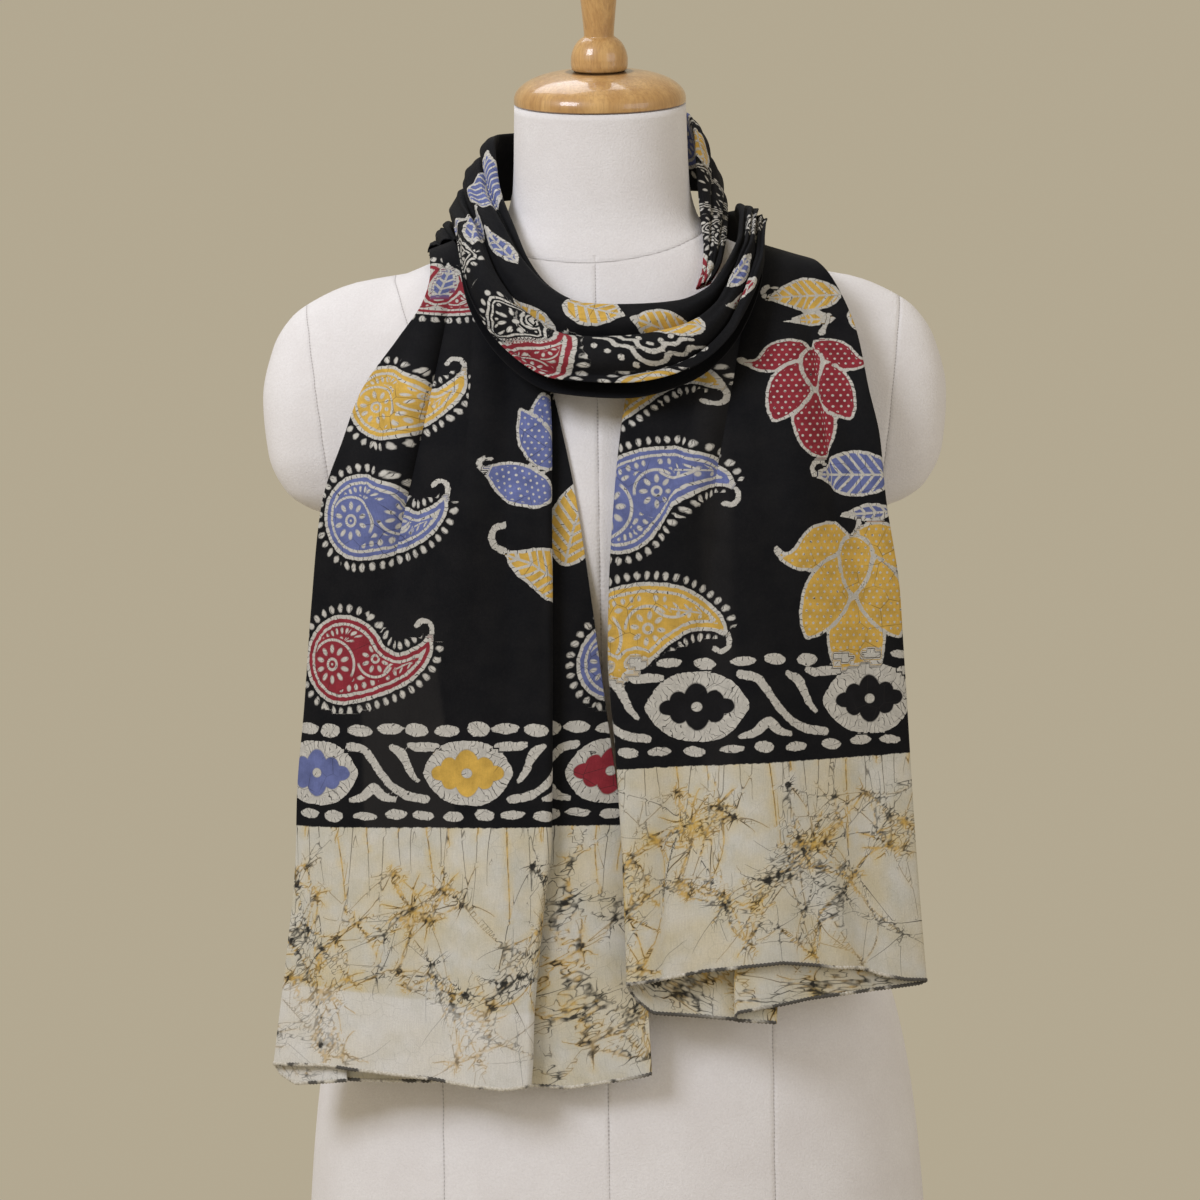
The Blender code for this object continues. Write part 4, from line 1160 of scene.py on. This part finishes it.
# %% The wrapper
class Sheet:
    """A material's node tree, with one method that adds any node."""

    def __init__(self, name):
        self.material = bpy.data.materials.new(name)
        self.material.use_nodes = True
        self.tree = self.material.node_tree
        self.shader = self.tree.nodes["Principled BSDF"]

    def node(self, kind, settings=None, **sockets):
        """Add a node. Settings come first, then values or links for its sockets; a
        socket's name may be its number, written as _0, _1 and so on."""
        node = self.tree.nodes.new(kind)
        for key, value in (settings or {}).items():
            setattr(node, key, value)
        for key, value in sockets.items():
            self.join(value, node.inputs[int(key[1:]) if key[0] == "_" else key])
        return node

    def join(self, value, socket):
        """Link a wrapped socket, or set a plain value."""
        if isinstance(value, Wire):
            self.tree.links.new(value.out, socket)
        elif value is not None:
            socket.default_value = value

    def attribute(self, name):
        """The three numbers of a stored attribute."""
        node = self.node("ShaderNodeAttribute", {"attribute_name": name})
        return Wire(self, node.outputs["Vector"])

    def object_place(self):
        """Each point's own place on its object, in metres."""
        return Wire(self, self.node("ShaderNodeTexCoord").outputs["Object"])

    def scaled(self, vector, by):
        """A vector or a colour times a number."""
        node = self.node("ShaderNodeVectorMath", {"operation": "SCALE"}, _0=vector, Scale=by)
        return Wire(self, node.outputs[0])

    def vector(self, x, y, z=0.0):
        """A vector from three numbers."""
        return Wire(self, self.node("ShaderNodeCombineXYZ", _0=x, _1=y, _2=z).outputs[0])

    def noise(self, place, scale, detail=2.0, roughness=0.5):
        """Noise at a place: about 0.5 in the middle."""
        node = self.node("ShaderNodeTexNoise", {"noise_dimensions": "3D"}, Vector=place,
                         Scale=scale, Detail=detail, Roughness=roughness)
        return Wire(self, node.outputs["Fac"])

    def cells(self, place, scale):
        """Distance to the nearest border between cells round scattered points."""
        node = self.node("ShaderNodeTexVoronoi", {"feature": "DISTANCE_TO_EDGE",
                                                  "voronoi_dimensions": "2D"},
                         Vector=place, Scale=scale)
        return Wire(self, node.outputs["Distance"])

    def mix(self, mask, a, b):
        """Colour a where the mask is 0, colour b where it is 1."""
        node = self.node("ShaderNodeMix", {"data_type": "RGBA"})
        self.join(mask, node.inputs["Factor"])
        self.join(a, node.inputs["A"])
        self.join(b, node.inputs["B"])
        return Wire(self, node.outputs["Result"])

    def bump(self, strength, distance, height):
        """Fine relief, joined to the shader's normal."""
        node = self.node("ShaderNodeBump", Strength=strength, Distance=distance,
                         Height=height)
        self.join(Wire(self, node.outputs[0]), self.shader.inputs["Normal"])

    def finish(self, pieces, colour, roughness, **constants):
        """Join colour and roughness, set the constants on the shader's own sockets, each
        named with _ for a space, and put the material on its pieces."""
        self.join(colour, self.shader.inputs["Base Color"])
        self.join(roughness, self.shader.inputs["Roughness"])
        for name, value in constants.items():
            self.shader.inputs[name.replace("_", " ")].default_value = value
        for piece in pieces:
            piece.data.materials.append(self.material)
        print(self.material.name, "nodes:", len(self.tree.nodes))


# %% [markdown]
# A wire is one socket's value. Its operators and methods each add one node or a few.

# %% The wires
class Wire:
    """One socket's value, with arithmetic."""

    def __init__(self, sheet, out):
        self.sheet, self.out = sheet, out

    def maths(self, operation, *others, first=None):
        node = self.sheet.node("ShaderNodeMath", {"operation": operation})
        for number, value in enumerate((self if first is None else first, *others)):
            self.sheet.join(value, node.inputs[number])
        return Wire(self.sheet, node.outputs[0])

    def __add__(self, other): return self.maths("ADD", other)
    def __radd__(self, other): return self.maths("ADD", other)
    def __sub__(self, other): return self.maths("SUBTRACT", other)
    def __rsub__(self, other): return self.maths("SUBTRACT", self, first=other)
    def __mul__(self, other): return self.maths("MULTIPLY", other)
    def __rmul__(self, other): return self.maths("MULTIPLY", other)
    def __truediv__(self, other): return self.maths("DIVIDE", other)
    def __lt__(self, other): return self.maths("LESS_THAN", other)
    def __gt__(self, other): return self.maths("GREATER_THAN", other)
    def __abs__(self): return self.maths("ABSOLUTE")
    def __or__(self, other): return self.maths("MAXIMUM", other)
    def __and__(self, other): return self.maths("MINIMUM", other)

    def sin(self): return self.maths("SINE")
    def cos(self): return self.maths("COSINE")
    def fract(self): return self.maths("FRACT")
    def power(self, other): return self.maths("POWER", other)
    def angle(self, x): return self.maths("ARCTAN2", x)
    def hypot(self, other): return (self * self + other * other).maths("SQRT")
    def polar(self, y): return self.hypot(y), y.angle(self)

    def parts(self):
        """The three numbers of a vector."""
        node = self.sheet.node("ShaderNodeSeparateXYZ", _0=self)
        return [Wire(self.sheet, node.outputs[i]) for i in range(3)]

    def step(self, low, high, to_low=0.0, to_high=1.0):
        """A straight ramp from to_low at low to to_high at high, clamped."""
        node = self.sheet.node("ShaderNodeMapRange", {"clamp": True}, _0=self, _1=low,
                               _2=high, _3=to_low, _4=to_high)
        return Wire(self.sheet, node.outputs[0])

    def within(self, low, high, soft=0.18):
        """1 between low and high, with soft edges."""
        return self.step(low - soft, low + soft) * self.step(high - soft, high + soft, 1, 0)

    def swing(self, period):
        """Distance to the middle of each repeat: from -period/2 to period/2."""
        return ((self / period).fract() - 0.5) * period


def oval(x, y, half_x, half_y, soft=0.25):
    """1 inside an ellipse."""
    return (x / half_x).hypot(y / half_y).step(1 - soft, 1 + soft, 1, 0)


# %% [markdown]
# ## The printed cotton
# The material draws, in order: the white wax lines of each kind of motif, the black
# ground with painted light where light comes through the cloth, and the inks, the cream end with
# its cracks and stains, painted paler where it hangs single, and the weave with painted shade in
# its hollows. The wax line is never quite even, so noise moves every edge a little, and dark
# hairlines cut across the white where the wax has cracked.

# %% Printed cotton: the motifs
cotton = Sheet("printed_cotton")
flat_node = cotton.node("ShaderNodeUVMap", {"uv_map": "flat"})
flat_mm = cotton.scaled(Wire(cotton, flat_node.outputs[0]), 1000.0)
edge, bead, kind = cotton.attribute("motif").parts()
own_x, own_y, own_size = cotton.attribute("place").parts()
shiver = cotton.noise(flat_mm, 0.28, 2.0) - 0.5
edge = edge + shiver * 1.7

def is_kind(code):
    """1 where the nearest motif is of this kind."""
    return abs(kind - float(code)) < 0.3


def petal_ring(r, turn, petals, out, half_long, half_wide):
    """Ovals round a middle, like petals, at a distance from it."""
    side = turn.swing(2 * math.pi / petals)
    return oval(r * side.cos() - out, r * side.sin(), half_long, half_wide)


def arc_line(r, turn, low, high, start, stop):
    """A curved line, between two distances and two angles."""
    return r.within(low, high, 0.2) * turn.within(start, stop, 0.06)


# paisley: two white lines, and beads outside them
white = edge.within(-2.0, 0.2) | edge.within(-6.1, -4.4)
white = white | oval((bead + shiver * 2.0).swing(5.4), edge - 4.2, 1.45, 2.3)

# in its head a ring with ten petals, an arc over it, a smaller flower and the vine under it
one_r, one_turn = (own_x + 6.5).polar(own_y + 2.3)
inner = one_r.within(2.2, 3.7, 0.2) | one_r.within(-1.0, 0.7)
inner = inner | petal_ring(one_r, one_turn, 10, 8.4, 2.2, 1.25)
inner = inner | arc_line(one_r, one_turn, 12.7, 14.1, -0.5, 2.6)
two_r, two_turn = (own_x - 19.0).polar(own_y - 0.2)
inner = inner | two_r.within(1.3, 2.6, 0.2)
inner = inner | petal_ring(two_r, two_turn, 8, 5.9, 1.8, 1.05)
inner = inner | arc_line(two_r, two_turn, 9.3, 10.6, -2.9, -0.5)
bough_r, bough_turn = (own_x - 34.0).polar(own_y + 12.5)
inner = inner | arc_line(bough_r, bough_turn, 10.7, 11.9, 1.0, 2.7)
free = (one_r > 15.3) * ((two_r < 0.9) | (two_r > 11.9)) * (abs(bough_r - 11.3) > 2.0)
free = free * (own_x < 31.0)
inner = inner | oval((bead * 0.9 + 1.0).swing(4.9), edge + 9.2, 1.25, 1.8) * free
inner = inner | oval((bead * 0.7).swing(5.6), edge + 14.0, 1.7, 1.3) * free
spine = own_y + 6.4 - (own_x - 29.0).step(0, 20.0) * 9.0
twig_leaf = oval((own_x + abs(spine) * 0.5).swing(4.6), abs(spine) - 1.9, 0.75, 1.3)
inner = inner | (twig_leaf | abs(spine).within(-1, 0.45)) * own_x.within(31.0, 44.0)
white = (white | inner * edge.step(-7.2, -6.8, 1, 0)) * is_kind(PAISLEY)

# petals: a white edge and rows of dots
row, other = own_y.swing(7.4), (own_y + 3.7).swing(7.4)
dots = own_x.swing(4.5).hypot(row) & (own_x + 2.25).swing(4.5).hypot(other)
petal_white = edge.within(-1.3, 0.5) | dots.step(0.62, 0.92, 1, 0) * (edge < -2.2)
white = white | petal_white * is_kind(PETAL)

# leaves: a white edge, a midrib and slanted veins
vein = (own_x + abs(own_y) * 0.8).swing(6.4)
leaf_white = edge.within(-1.5, 0.4) | own_y.within(-0.7, 0.7) | vein.within(-1.0, 1.0)
white = white | leaf_white * is_kind(LEAF) * (edge < 0.4)

# %% Printed cotton: plates, stems and medallions
# a plate is white, with a stepped flower that has a white middle
step_x, step_y = abs(own_x + shiver), abs(own_y + shiver)
flower = oval(step_x, step_y, 8.5, 14.2, 0.04) | oval(step_x - 10.5, step_y - 3.6, 5.6, 6.0,
                                                     0.06)
flower = flower | oval(step_x - 16.2, step_y, 6.2, 4.6, 0.06)
flower = flower | (step_x < 14.0) * (step_y < 5.0)
flower = flower * (1 - oval(own_x, own_y, 3.2, 2.8, 0.1))
on_plate = is_kind(PLATE) * (edge < 0.2)
flower = flower * on_plate
white = white | on_plate * (1 - flower)

# stems, ovals and twigs are white all through; medallions have white rings and dots
white = white | is_kind(WHITE) * edge.step(-0.1, 0.25, 1, 0)
away, star_turn = own_x.polar(own_y)
star_mask = edge.within(-1.3, 0.1) | edge.within(-3.6, -2.6)
star_mask = star_mask | oval(bead.swing(4.6), edge - 2.6, 1.1, 1.5)
star_mask = star_mask | petal_ring(away, star_turn, 8, own_size * 0.42, 1.9, 1.0)
star_mask = star_mask | oval(bead.swing(6.4), edge + 5.6, 1.2, 0.9) | away.within(-1.0, 1.6)
white = white | star_mask * is_kind(STAR)
filled = edge.step(-0.3, 0.1, 1, 0) * (kind < LEAF + 0.4) | flower

# %% Printed cotton: colours of the ground, the inks and the wax
BLACK = (0.0058, 0.0060, 0.0074, 1.0)
# the black's faded tone, used both for its real fading and for painted light coming through the
# cloth
FADED_AND_LIT = (0.0190, 0.0178, 0.0178, 1.0)
WAX = (0.60, 0.575, 0.52, 1.0)
DULL_WAX = (0.46, 0.44, 0.40, 1.0)
HAIRLINE = (0.022, 0.020, 0.020, 1.0)
light_through, up, single = cotton.attribute("band").parts()
cloud = cotton.noise(flat_mm, 0.05, 4.0, 0.6)
scuff = cotton.noise(flat_mm, 0.55, 3.0, 0.7).step(0.45, 0.80) * 0.5
# painted light: the ground is painted paler where light comes through the cloth, besides its real
# cloudy fading and scuffs
ground = cotton.mix(cloud.step(0.35, 0.75) * 0.35 + scuff * 0.45 + light_through * 0.85, BLACK, FADED_AND_LIT)
tint = cotton.attribute("tint")
shade = cotton.noise(flat_mm, 0.09, 3.0, 0.6).step(0.25, 0.8, 0.70, 1.20)
colour = cotton.mix(filled, ground, cotton.scaled(tint, shade))

# the wax breaks across the thin lines at short steps, and in a wide web over the rest
snap = abs((bead + cotton.noise(flat_mm, 0.12) * 9.0).swing(3.3)).step(0.12, 0.27, 1, 0)
snap = snap * cotton.noise(flat_mm, 0.22).step(0.41, 0.49)
web = cotton.cells(flat_mm, 0.085).step(0.004, 0.022, 1, 0)
web = web * cotton.noise(flat_mm, 0.03, 2.0).step(0.46, 0.56)
web = web * (filled | white)
wax_shade = cotton.mix(cotton.noise(flat_mm, 0.22, 3.0).step(0.3, 0.7), DULL_WAX, WAX)
colour = cotton.mix(white, colour, wax_shade)
colour = cotton.mix((snap * white | web * 0.8) * 0.92, colour, HAIRLINE)

# %% Printed cotton: the cream end
CREAM = (0.69, 0.67, 0.63, 1.0)
GREYED = (0.55, 0.53, 0.455, 1.0)
YELLOWED = (0.62, 0.47, 0.17, 1.0)
ORANGE = (0.57, 0.34, 0.055, 1.0)
DYE = (0.026, 0.025, 0.023, 1.0)
crack_side, crack_gap, crack_half = cotton.attribute("vein").parts()
knot_dark, knot_warm, crack_warm = cotton.attribute("stain").parts()
# painted light: the cream is painted paler where the cloth hangs single and light comes through
# it
cream = cotton.mix(cloud.step(0.35, 0.7) * 0.7 + single * 0.6, GREYED, CREAM)
fuzz = cotton.noise(flat_mm, 0.45, 3.0, 0.65) - 0.5
waver = cotton.noise(flat_mm, 0.22, 1.0) - 0.5
blotch = cotton.noise(flat_mm, 0.10, 4.0, 0.65)
halo = crack_gap.step(0.3, 4.5, 0.5, 0) * crack_warm * blotch.step(0.35, 0.6)
quiet = 1 - single * 0.65             # the lowest cloth is single, so painted paler, as light comes through it
haze = cotton.noise(flat_mm, 0.030, 3.0).step(0.40, 0.62) * 0.30 * quiet
cream = cotton.mix(haze, cream, YELLOWED)
cream = cotton.mix((knot_warm.step(0.10, 1.0, 0, 0.80) * blotch.step(0.34, 0.58) | halo)
                   * quiet, cream, YELLOWED)
beside = (crack_gap - crack_half).step(1.1, 2.0, 1, 0) * (1 - single * 0.35)
side = crack_side + waver * 0.5
rust = (abs(side) + fuzz * 0.9 - crack_half).step(-0.15, 0.55, 1, 0)
cream = cotton.mix(rust * beside * crack_warm.step(0.1, 0.8) * 0.78, cream, ORANGE)
kept = cotton.noise(flat_mm, 0.15, 2.0).step(0.45, 0.60)
line = (abs(side) - crack_half).step(-0.18, 0.16, 1, 0) * beside
cream = cotton.mix(line * (1 - crack_warm * kept) * 0.95, cream, DYE)
fine = cotton.cells(flat_mm, 0.14).step(0.0, 0.03, 1, 0)
fine = fine * cotton.noise(flat_mm, 0.04, 2.0).step(0.48, 0.60) * 0.22
blob = (knot_dark * 1.1 + fuzz * 1.7).step(0.50, 0.85)
cream = cotton.mix(fine | blob * 0.92, cream, DYE)
edge_up = up + shiver * 1.6 + (cotton.noise(flat_mm, 0.9) - 0.5) * 0.9
cream_part = edge_up.step(-0.3, 0.3, 1, 0)
colour = cotton.mix(cream_part, colour, cream)

# %% Printed cotton: weave and finish
WARP, WEFT = 0.62, 0.70               # millimetres from thread to thread
NECK_UP = 420.0                       # the cloth round the neck is puckered
u_mm, v_mm, _ = flat_mm.parts()
warp = (u_mm * (2 * math.pi / WARP)).sin()
weft = (v_mm * (2 * math.pi / WEFT)).sin()
slub = cotton.noise(cotton.vector(u_mm * 2.2, v_mm * 0.12), 1.0, 2.0)
pucker = cotton.noise(cotton.vector(u_mm * 0.10, v_mm * 0.013), 1.0, 3.0, 0.6)
crinkle = cotton.noise(flat_mm, 1.0, 3.0, 0.6)
height = warp * weft * 0.3 + slub * 0.8 + crinkle * (1.0 + cream_part * 1.2)
cotton.bump(0.45, 0.00022, height + pucker * (up > NECK_UP) * 5.0)
# painted shade: the colour is darker where the weave and the crinkle lie low, as shade in their
# hollows; the slub's part is the uneven yarn
yarn_and_relief_shade = (warp * weft).step(-1.0, 1.0, 0.90, 1.06) * slub.step(0.2, 0.8, 0.92, 1.08)
yarn_and_relief_shade = yarn_and_relief_shade * crinkle.step(0.3, 0.7, 0.92, 1.05)
cotton.finish((cowl, back_inner, back_outer, tail_left, tail_right),
              cotton.scaled(colour, yarn_and_relief_shade), cream_part.step(0, 1, 0.86, 0.94),
              Specular_IOR_Level=0.10, Sheen_Weight=0.015, Sheen_Roughness=0.4)

# %% The hems' thread
thread = Sheet("hem_thread")
place_3d = thread.object_place()
soiled = thread.noise(place_3d, 70.0, 2.0, 0.6)
patch = thread.noise(place_3d, 20.0, 2.0).step(0.44, 0.56)
thread_tone = thread.mix(thread.noise(place_3d, 700.0).step(0.35, 0.65),
                         (0.46, 0.42, 0.34, 1.0), (0.66, 0.62, 0.54, 1.0))
right_side = place_3d.parts()[0].step(0.0, 0.02)
thread_tone = thread.mix((soiled.step(0.50, 0.57) | patch * right_side) * 0.88, thread_tone,
                         (0.028, 0.026, 0.025, 1.0))
thread.finish((hem_left, hem_right), thread_tone, soiled.step(0.3, 0.7, 0.8, 0.95),
              Specular_IOR_Level=0.2)

# %% [markdown]
# ## The form's cover and the wood
# The form is covered in a pale, close-knit cloth, pieced in panels: the seams show as
# thin dark lines, one down the middle, one from each shoulder down over the hip, one
# round each arm and one round the neck. The wood is turned and varnished, so it has
# streaks along the grain under a clear coat. Both patterns read Object coordinates.

# %% Cover with seams
SEAM_STITCH = 0.0026
SEAM_MIDDLE = -0.0045                 # the front seam lies a little to one side
cover = Sheet("pale_cover")
here = cover.object_place()
x, y, z = here.parts()
grain = cover.noise(here, 760.0, 3.0, 0.65)
mottle = cover.noise(here, 28.0, 3.0, 0.6)
wander = (cover.noise(here, 60.0, 1.0) - 0.5) * 0.0012
side = abs(x - SEAM_MIDDLE)
hip = (0.0990 - z.step(0.20, 0.33) * 0.022 + z.step(0.37, 0.50) * 0.006
       + z.step(0.52, 0.65) * 0.040)
middle_seam = side - wander + (z > 0.662) * (y < 0.0)
hip_seam = abs(side - hip - wander)
arm_seam = abs(abs(x) - 0.1672 - (z - 0.52) * 0.135 - wander) + (z < 0.50) * 0.1
neck_seam = abs(z - 0.6582 - (y + 0.058) * 0.20 - x * x * 2.6 - x * 0.05 - wander)
nearest = middle_seam & hip_seam & arm_seam & neck_seam
seam = nearest.step(0.00018, 0.00045, 1, 0)
pucker = nearest.step(0.0, 0.0030, 1, 0)
stitch = ((z + y * 0.6) * (2 * math.pi / SEAM_STITCH)).sin().step(-0.2, 0.6)
tone = cover.mix(mottle.step(0.3, 0.7), (0.760, 0.722, 0.708, 1.0), (0.815, 0.785, 0.775, 1.0))
tone = cover.mix(grain.step(0.35, 0.65) * 0.35, tone, (0.66, 0.625, 0.61, 1.0))
tone = cover.mix(seam * (0.30 + stitch * 0.30), tone, (0.20, 0.17, 0.16, 1.0))
cover.bump(0.70, 0.00060, grain * 0.9 + pucker.power(2.0) * -1.6 + stitch * pucker * 0.3)
cover.finish((torso,), tone, grain.step(0.3, 0.7, 0.80, 0.93), Specular_IOR_Level=0.25,
             Sheen_Weight=0.08, Sheen_Roughness=0.5)

# %% Varnished wood
wood = Sheet("varnished_wood")
spot = wood.object_place()
x, y, z = spot.parts()
bend = wood.noise(spot, 35.0, 2.0) * 0.010
streaks = wood.noise(wood.vector(x + bend, y, z * 0.055), 620.0, 4.0, 0.62)
broad = wood.noise(wood.vector(x + bend, y, z * 0.12), 95.0, 3.0, 0.55)
pores = wood.noise(wood.vector(x, y, z * 0.03), 1900.0, 2.0, 0.6).step(0.60, 0.70)
golden = wood.mix(broad.step(0.32, 0.68), (0.47, 0.250, 0.080, 1.0), (0.66, 0.40, 0.150, 1.0))
golden = wood.mix(streaks.step(0.42, 0.66) * 0.5, golden, (0.34, 0.165, 0.052, 1.0))
golden = wood.mix(pores * 0.28, golden, (0.20, 0.085, 0.025, 1.0))
rise = (z - NECK_TOP) * math.cos(NECK_TILT) - (y - NECK_TOP_Y) * math.sin(NECK_TILT)
# painted shade: the lowest rim of the cap, where it sits on the form, and a crescent in front
# round the foot of the knob's ball are painted dark
cap_foot_shade = rise.step(0.0008, 0.0015, 1, 0)
knob_foot_shade = (abs(rise - 0.0203).step(0.0004, 0.0010, 1, 0)
         * x.hypot(y - NECK_TOP_Y + 0.0045).step(0.020, 0.022, 1, 0))
golden = wood.mix((cap_foot_shade | knob_foot_shade) * 0.8, golden, (0.055, 0.022, 0.008, 1.0))
wood.bump(0.25, 0.0002, streaks * 0.7 - pores * 0.6)
wood.finish((cap, knob), golden, streaks.step(0.3, 0.7, 0.34, 0.46), Coat_Weight=0.75,
            Coat_Roughness=0.10)

# %% [markdown]
# ## Camera, light and floor
# The photograph is taken from the front with a long lens, a little above the middle of
# the form. The camera also leans by a degree. The studio light is broad and soft.

# %% Camera
CAMERA_AT = (-0.0048, -2.6, 0.52)
AIM_HEIGHT = 0.4519                   # where its line of sight crosses the form's middle
CAMERA_DOWN = math.atan2(CAMERA_AT[2] - AIM_HEIGHT, -CAMERA_AT[1])
CAMERA_ROLL = math.radians(0.9)
LENS = 125.8


def placed(right, top, place):
    """A 4 x 4 matrix for something at a place, from its own x and y directions. Its z
    direction is square to both."""
    matrix = np.eye(4)
    matrix[:3] = np.stack([right, top, np.cross(right, top), place], axis=-1)
    return Matrix(matrix.tolist())


def look_from(place, down, roll):
    """Placing of a camera that looks along +Y, tilted down, then rolled to its right."""
    across, up = np.array([1.0, 0.0, 0.0]), np.array([0.0, math.sin(down), math.cos(down)])
    c, s = math.cos(roll), math.sin(roll)
    return placed(c * across - s * up, c * up + s * across, place)


camera_data = bpy.data.cameras.new("camera")
camera_data.lens = LENS
camera_data.sensor_width = 36.0
camera = in_scene("camera", camera_data)
camera.matrix_world = look_from(CAMERA_AT, CAMERA_DOWN, CAMERA_ROLL)
bpy.context.scene.camera = camera

# %% Lights
def soft_light(name, place, aim, size, watts, colour):
    """A square light panel at a place, turned to face a point."""
    data = bpy.data.lights.new(name, "AREA")
    data.shape, data.size, data.energy, data.color = "SQUARE", size, watts, colour
    back = unit(np.subtract(place, aim))
    side = unit(np.cross([0.0, 0.0, 1.0], back))
    in_scene(name, data).matrix_world = placed(side, np.cross(back, side), place)


soft_light("key", (-1.35, -1.5, 1.75), (0, 0, 0.62), 0.9, 36, (0.82, 0.87, 1.0))
soft_light("fill", (1.9, -1.7, 0.9), (0, 0, 0.45), 1.6, 13, (0.76, 0.82, 1.0))
soft_light("top", (-0.3, 0.6, 2.1), (0, 0, 0.5), 1.0, 10, (0.85, 0.9, 1.0))
world = bpy.data.worlds.new("studio")
world.use_nodes = True
sky = world.node_tree.nodes["Background"]
sky.inputs["Color"].default_value = (0.450, 0.393, 0.285, 1.0)
sky.inputs["Strength"].default_value = 1.0
bpy.context.scene.world = world
bpy.context.scene.view_settings.view_transform = "Standard"

# %% Floor
FLOOR_RADIUS = 0.44
FLOOR_TOP, FLOOR_FOOT = -0.0012, -0.012
floor_ring = np.linspace(0, 2 * math.pi, 96, endpoint=False)
floor_points = np.stack([
    np.stack([r * np.cos(floor_ring), r * np.sin(floor_ring), 0 * floor_ring + z], axis=-1)
    for r, z in ((FLOOR_RADIUS, FLOOR_FOOT), (FLOOR_RADIUS, FLOOR_TOP))])
floor = grid_object("floor", floor_points, closed=True, caps=True)
floor_skin = Sheet("pale_floor")
floor_mottle = floor_skin.noise(floor_skin.object_place(), 9.0, 4.0).step(0.3, 0.7)
floor_skin.finish((floor,), floor_skin.mix(floor_mottle, (0.60, 0.56, 0.48, 1.0),
                                           (0.64, 0.60, 0.52, 1.0)), 0.85)
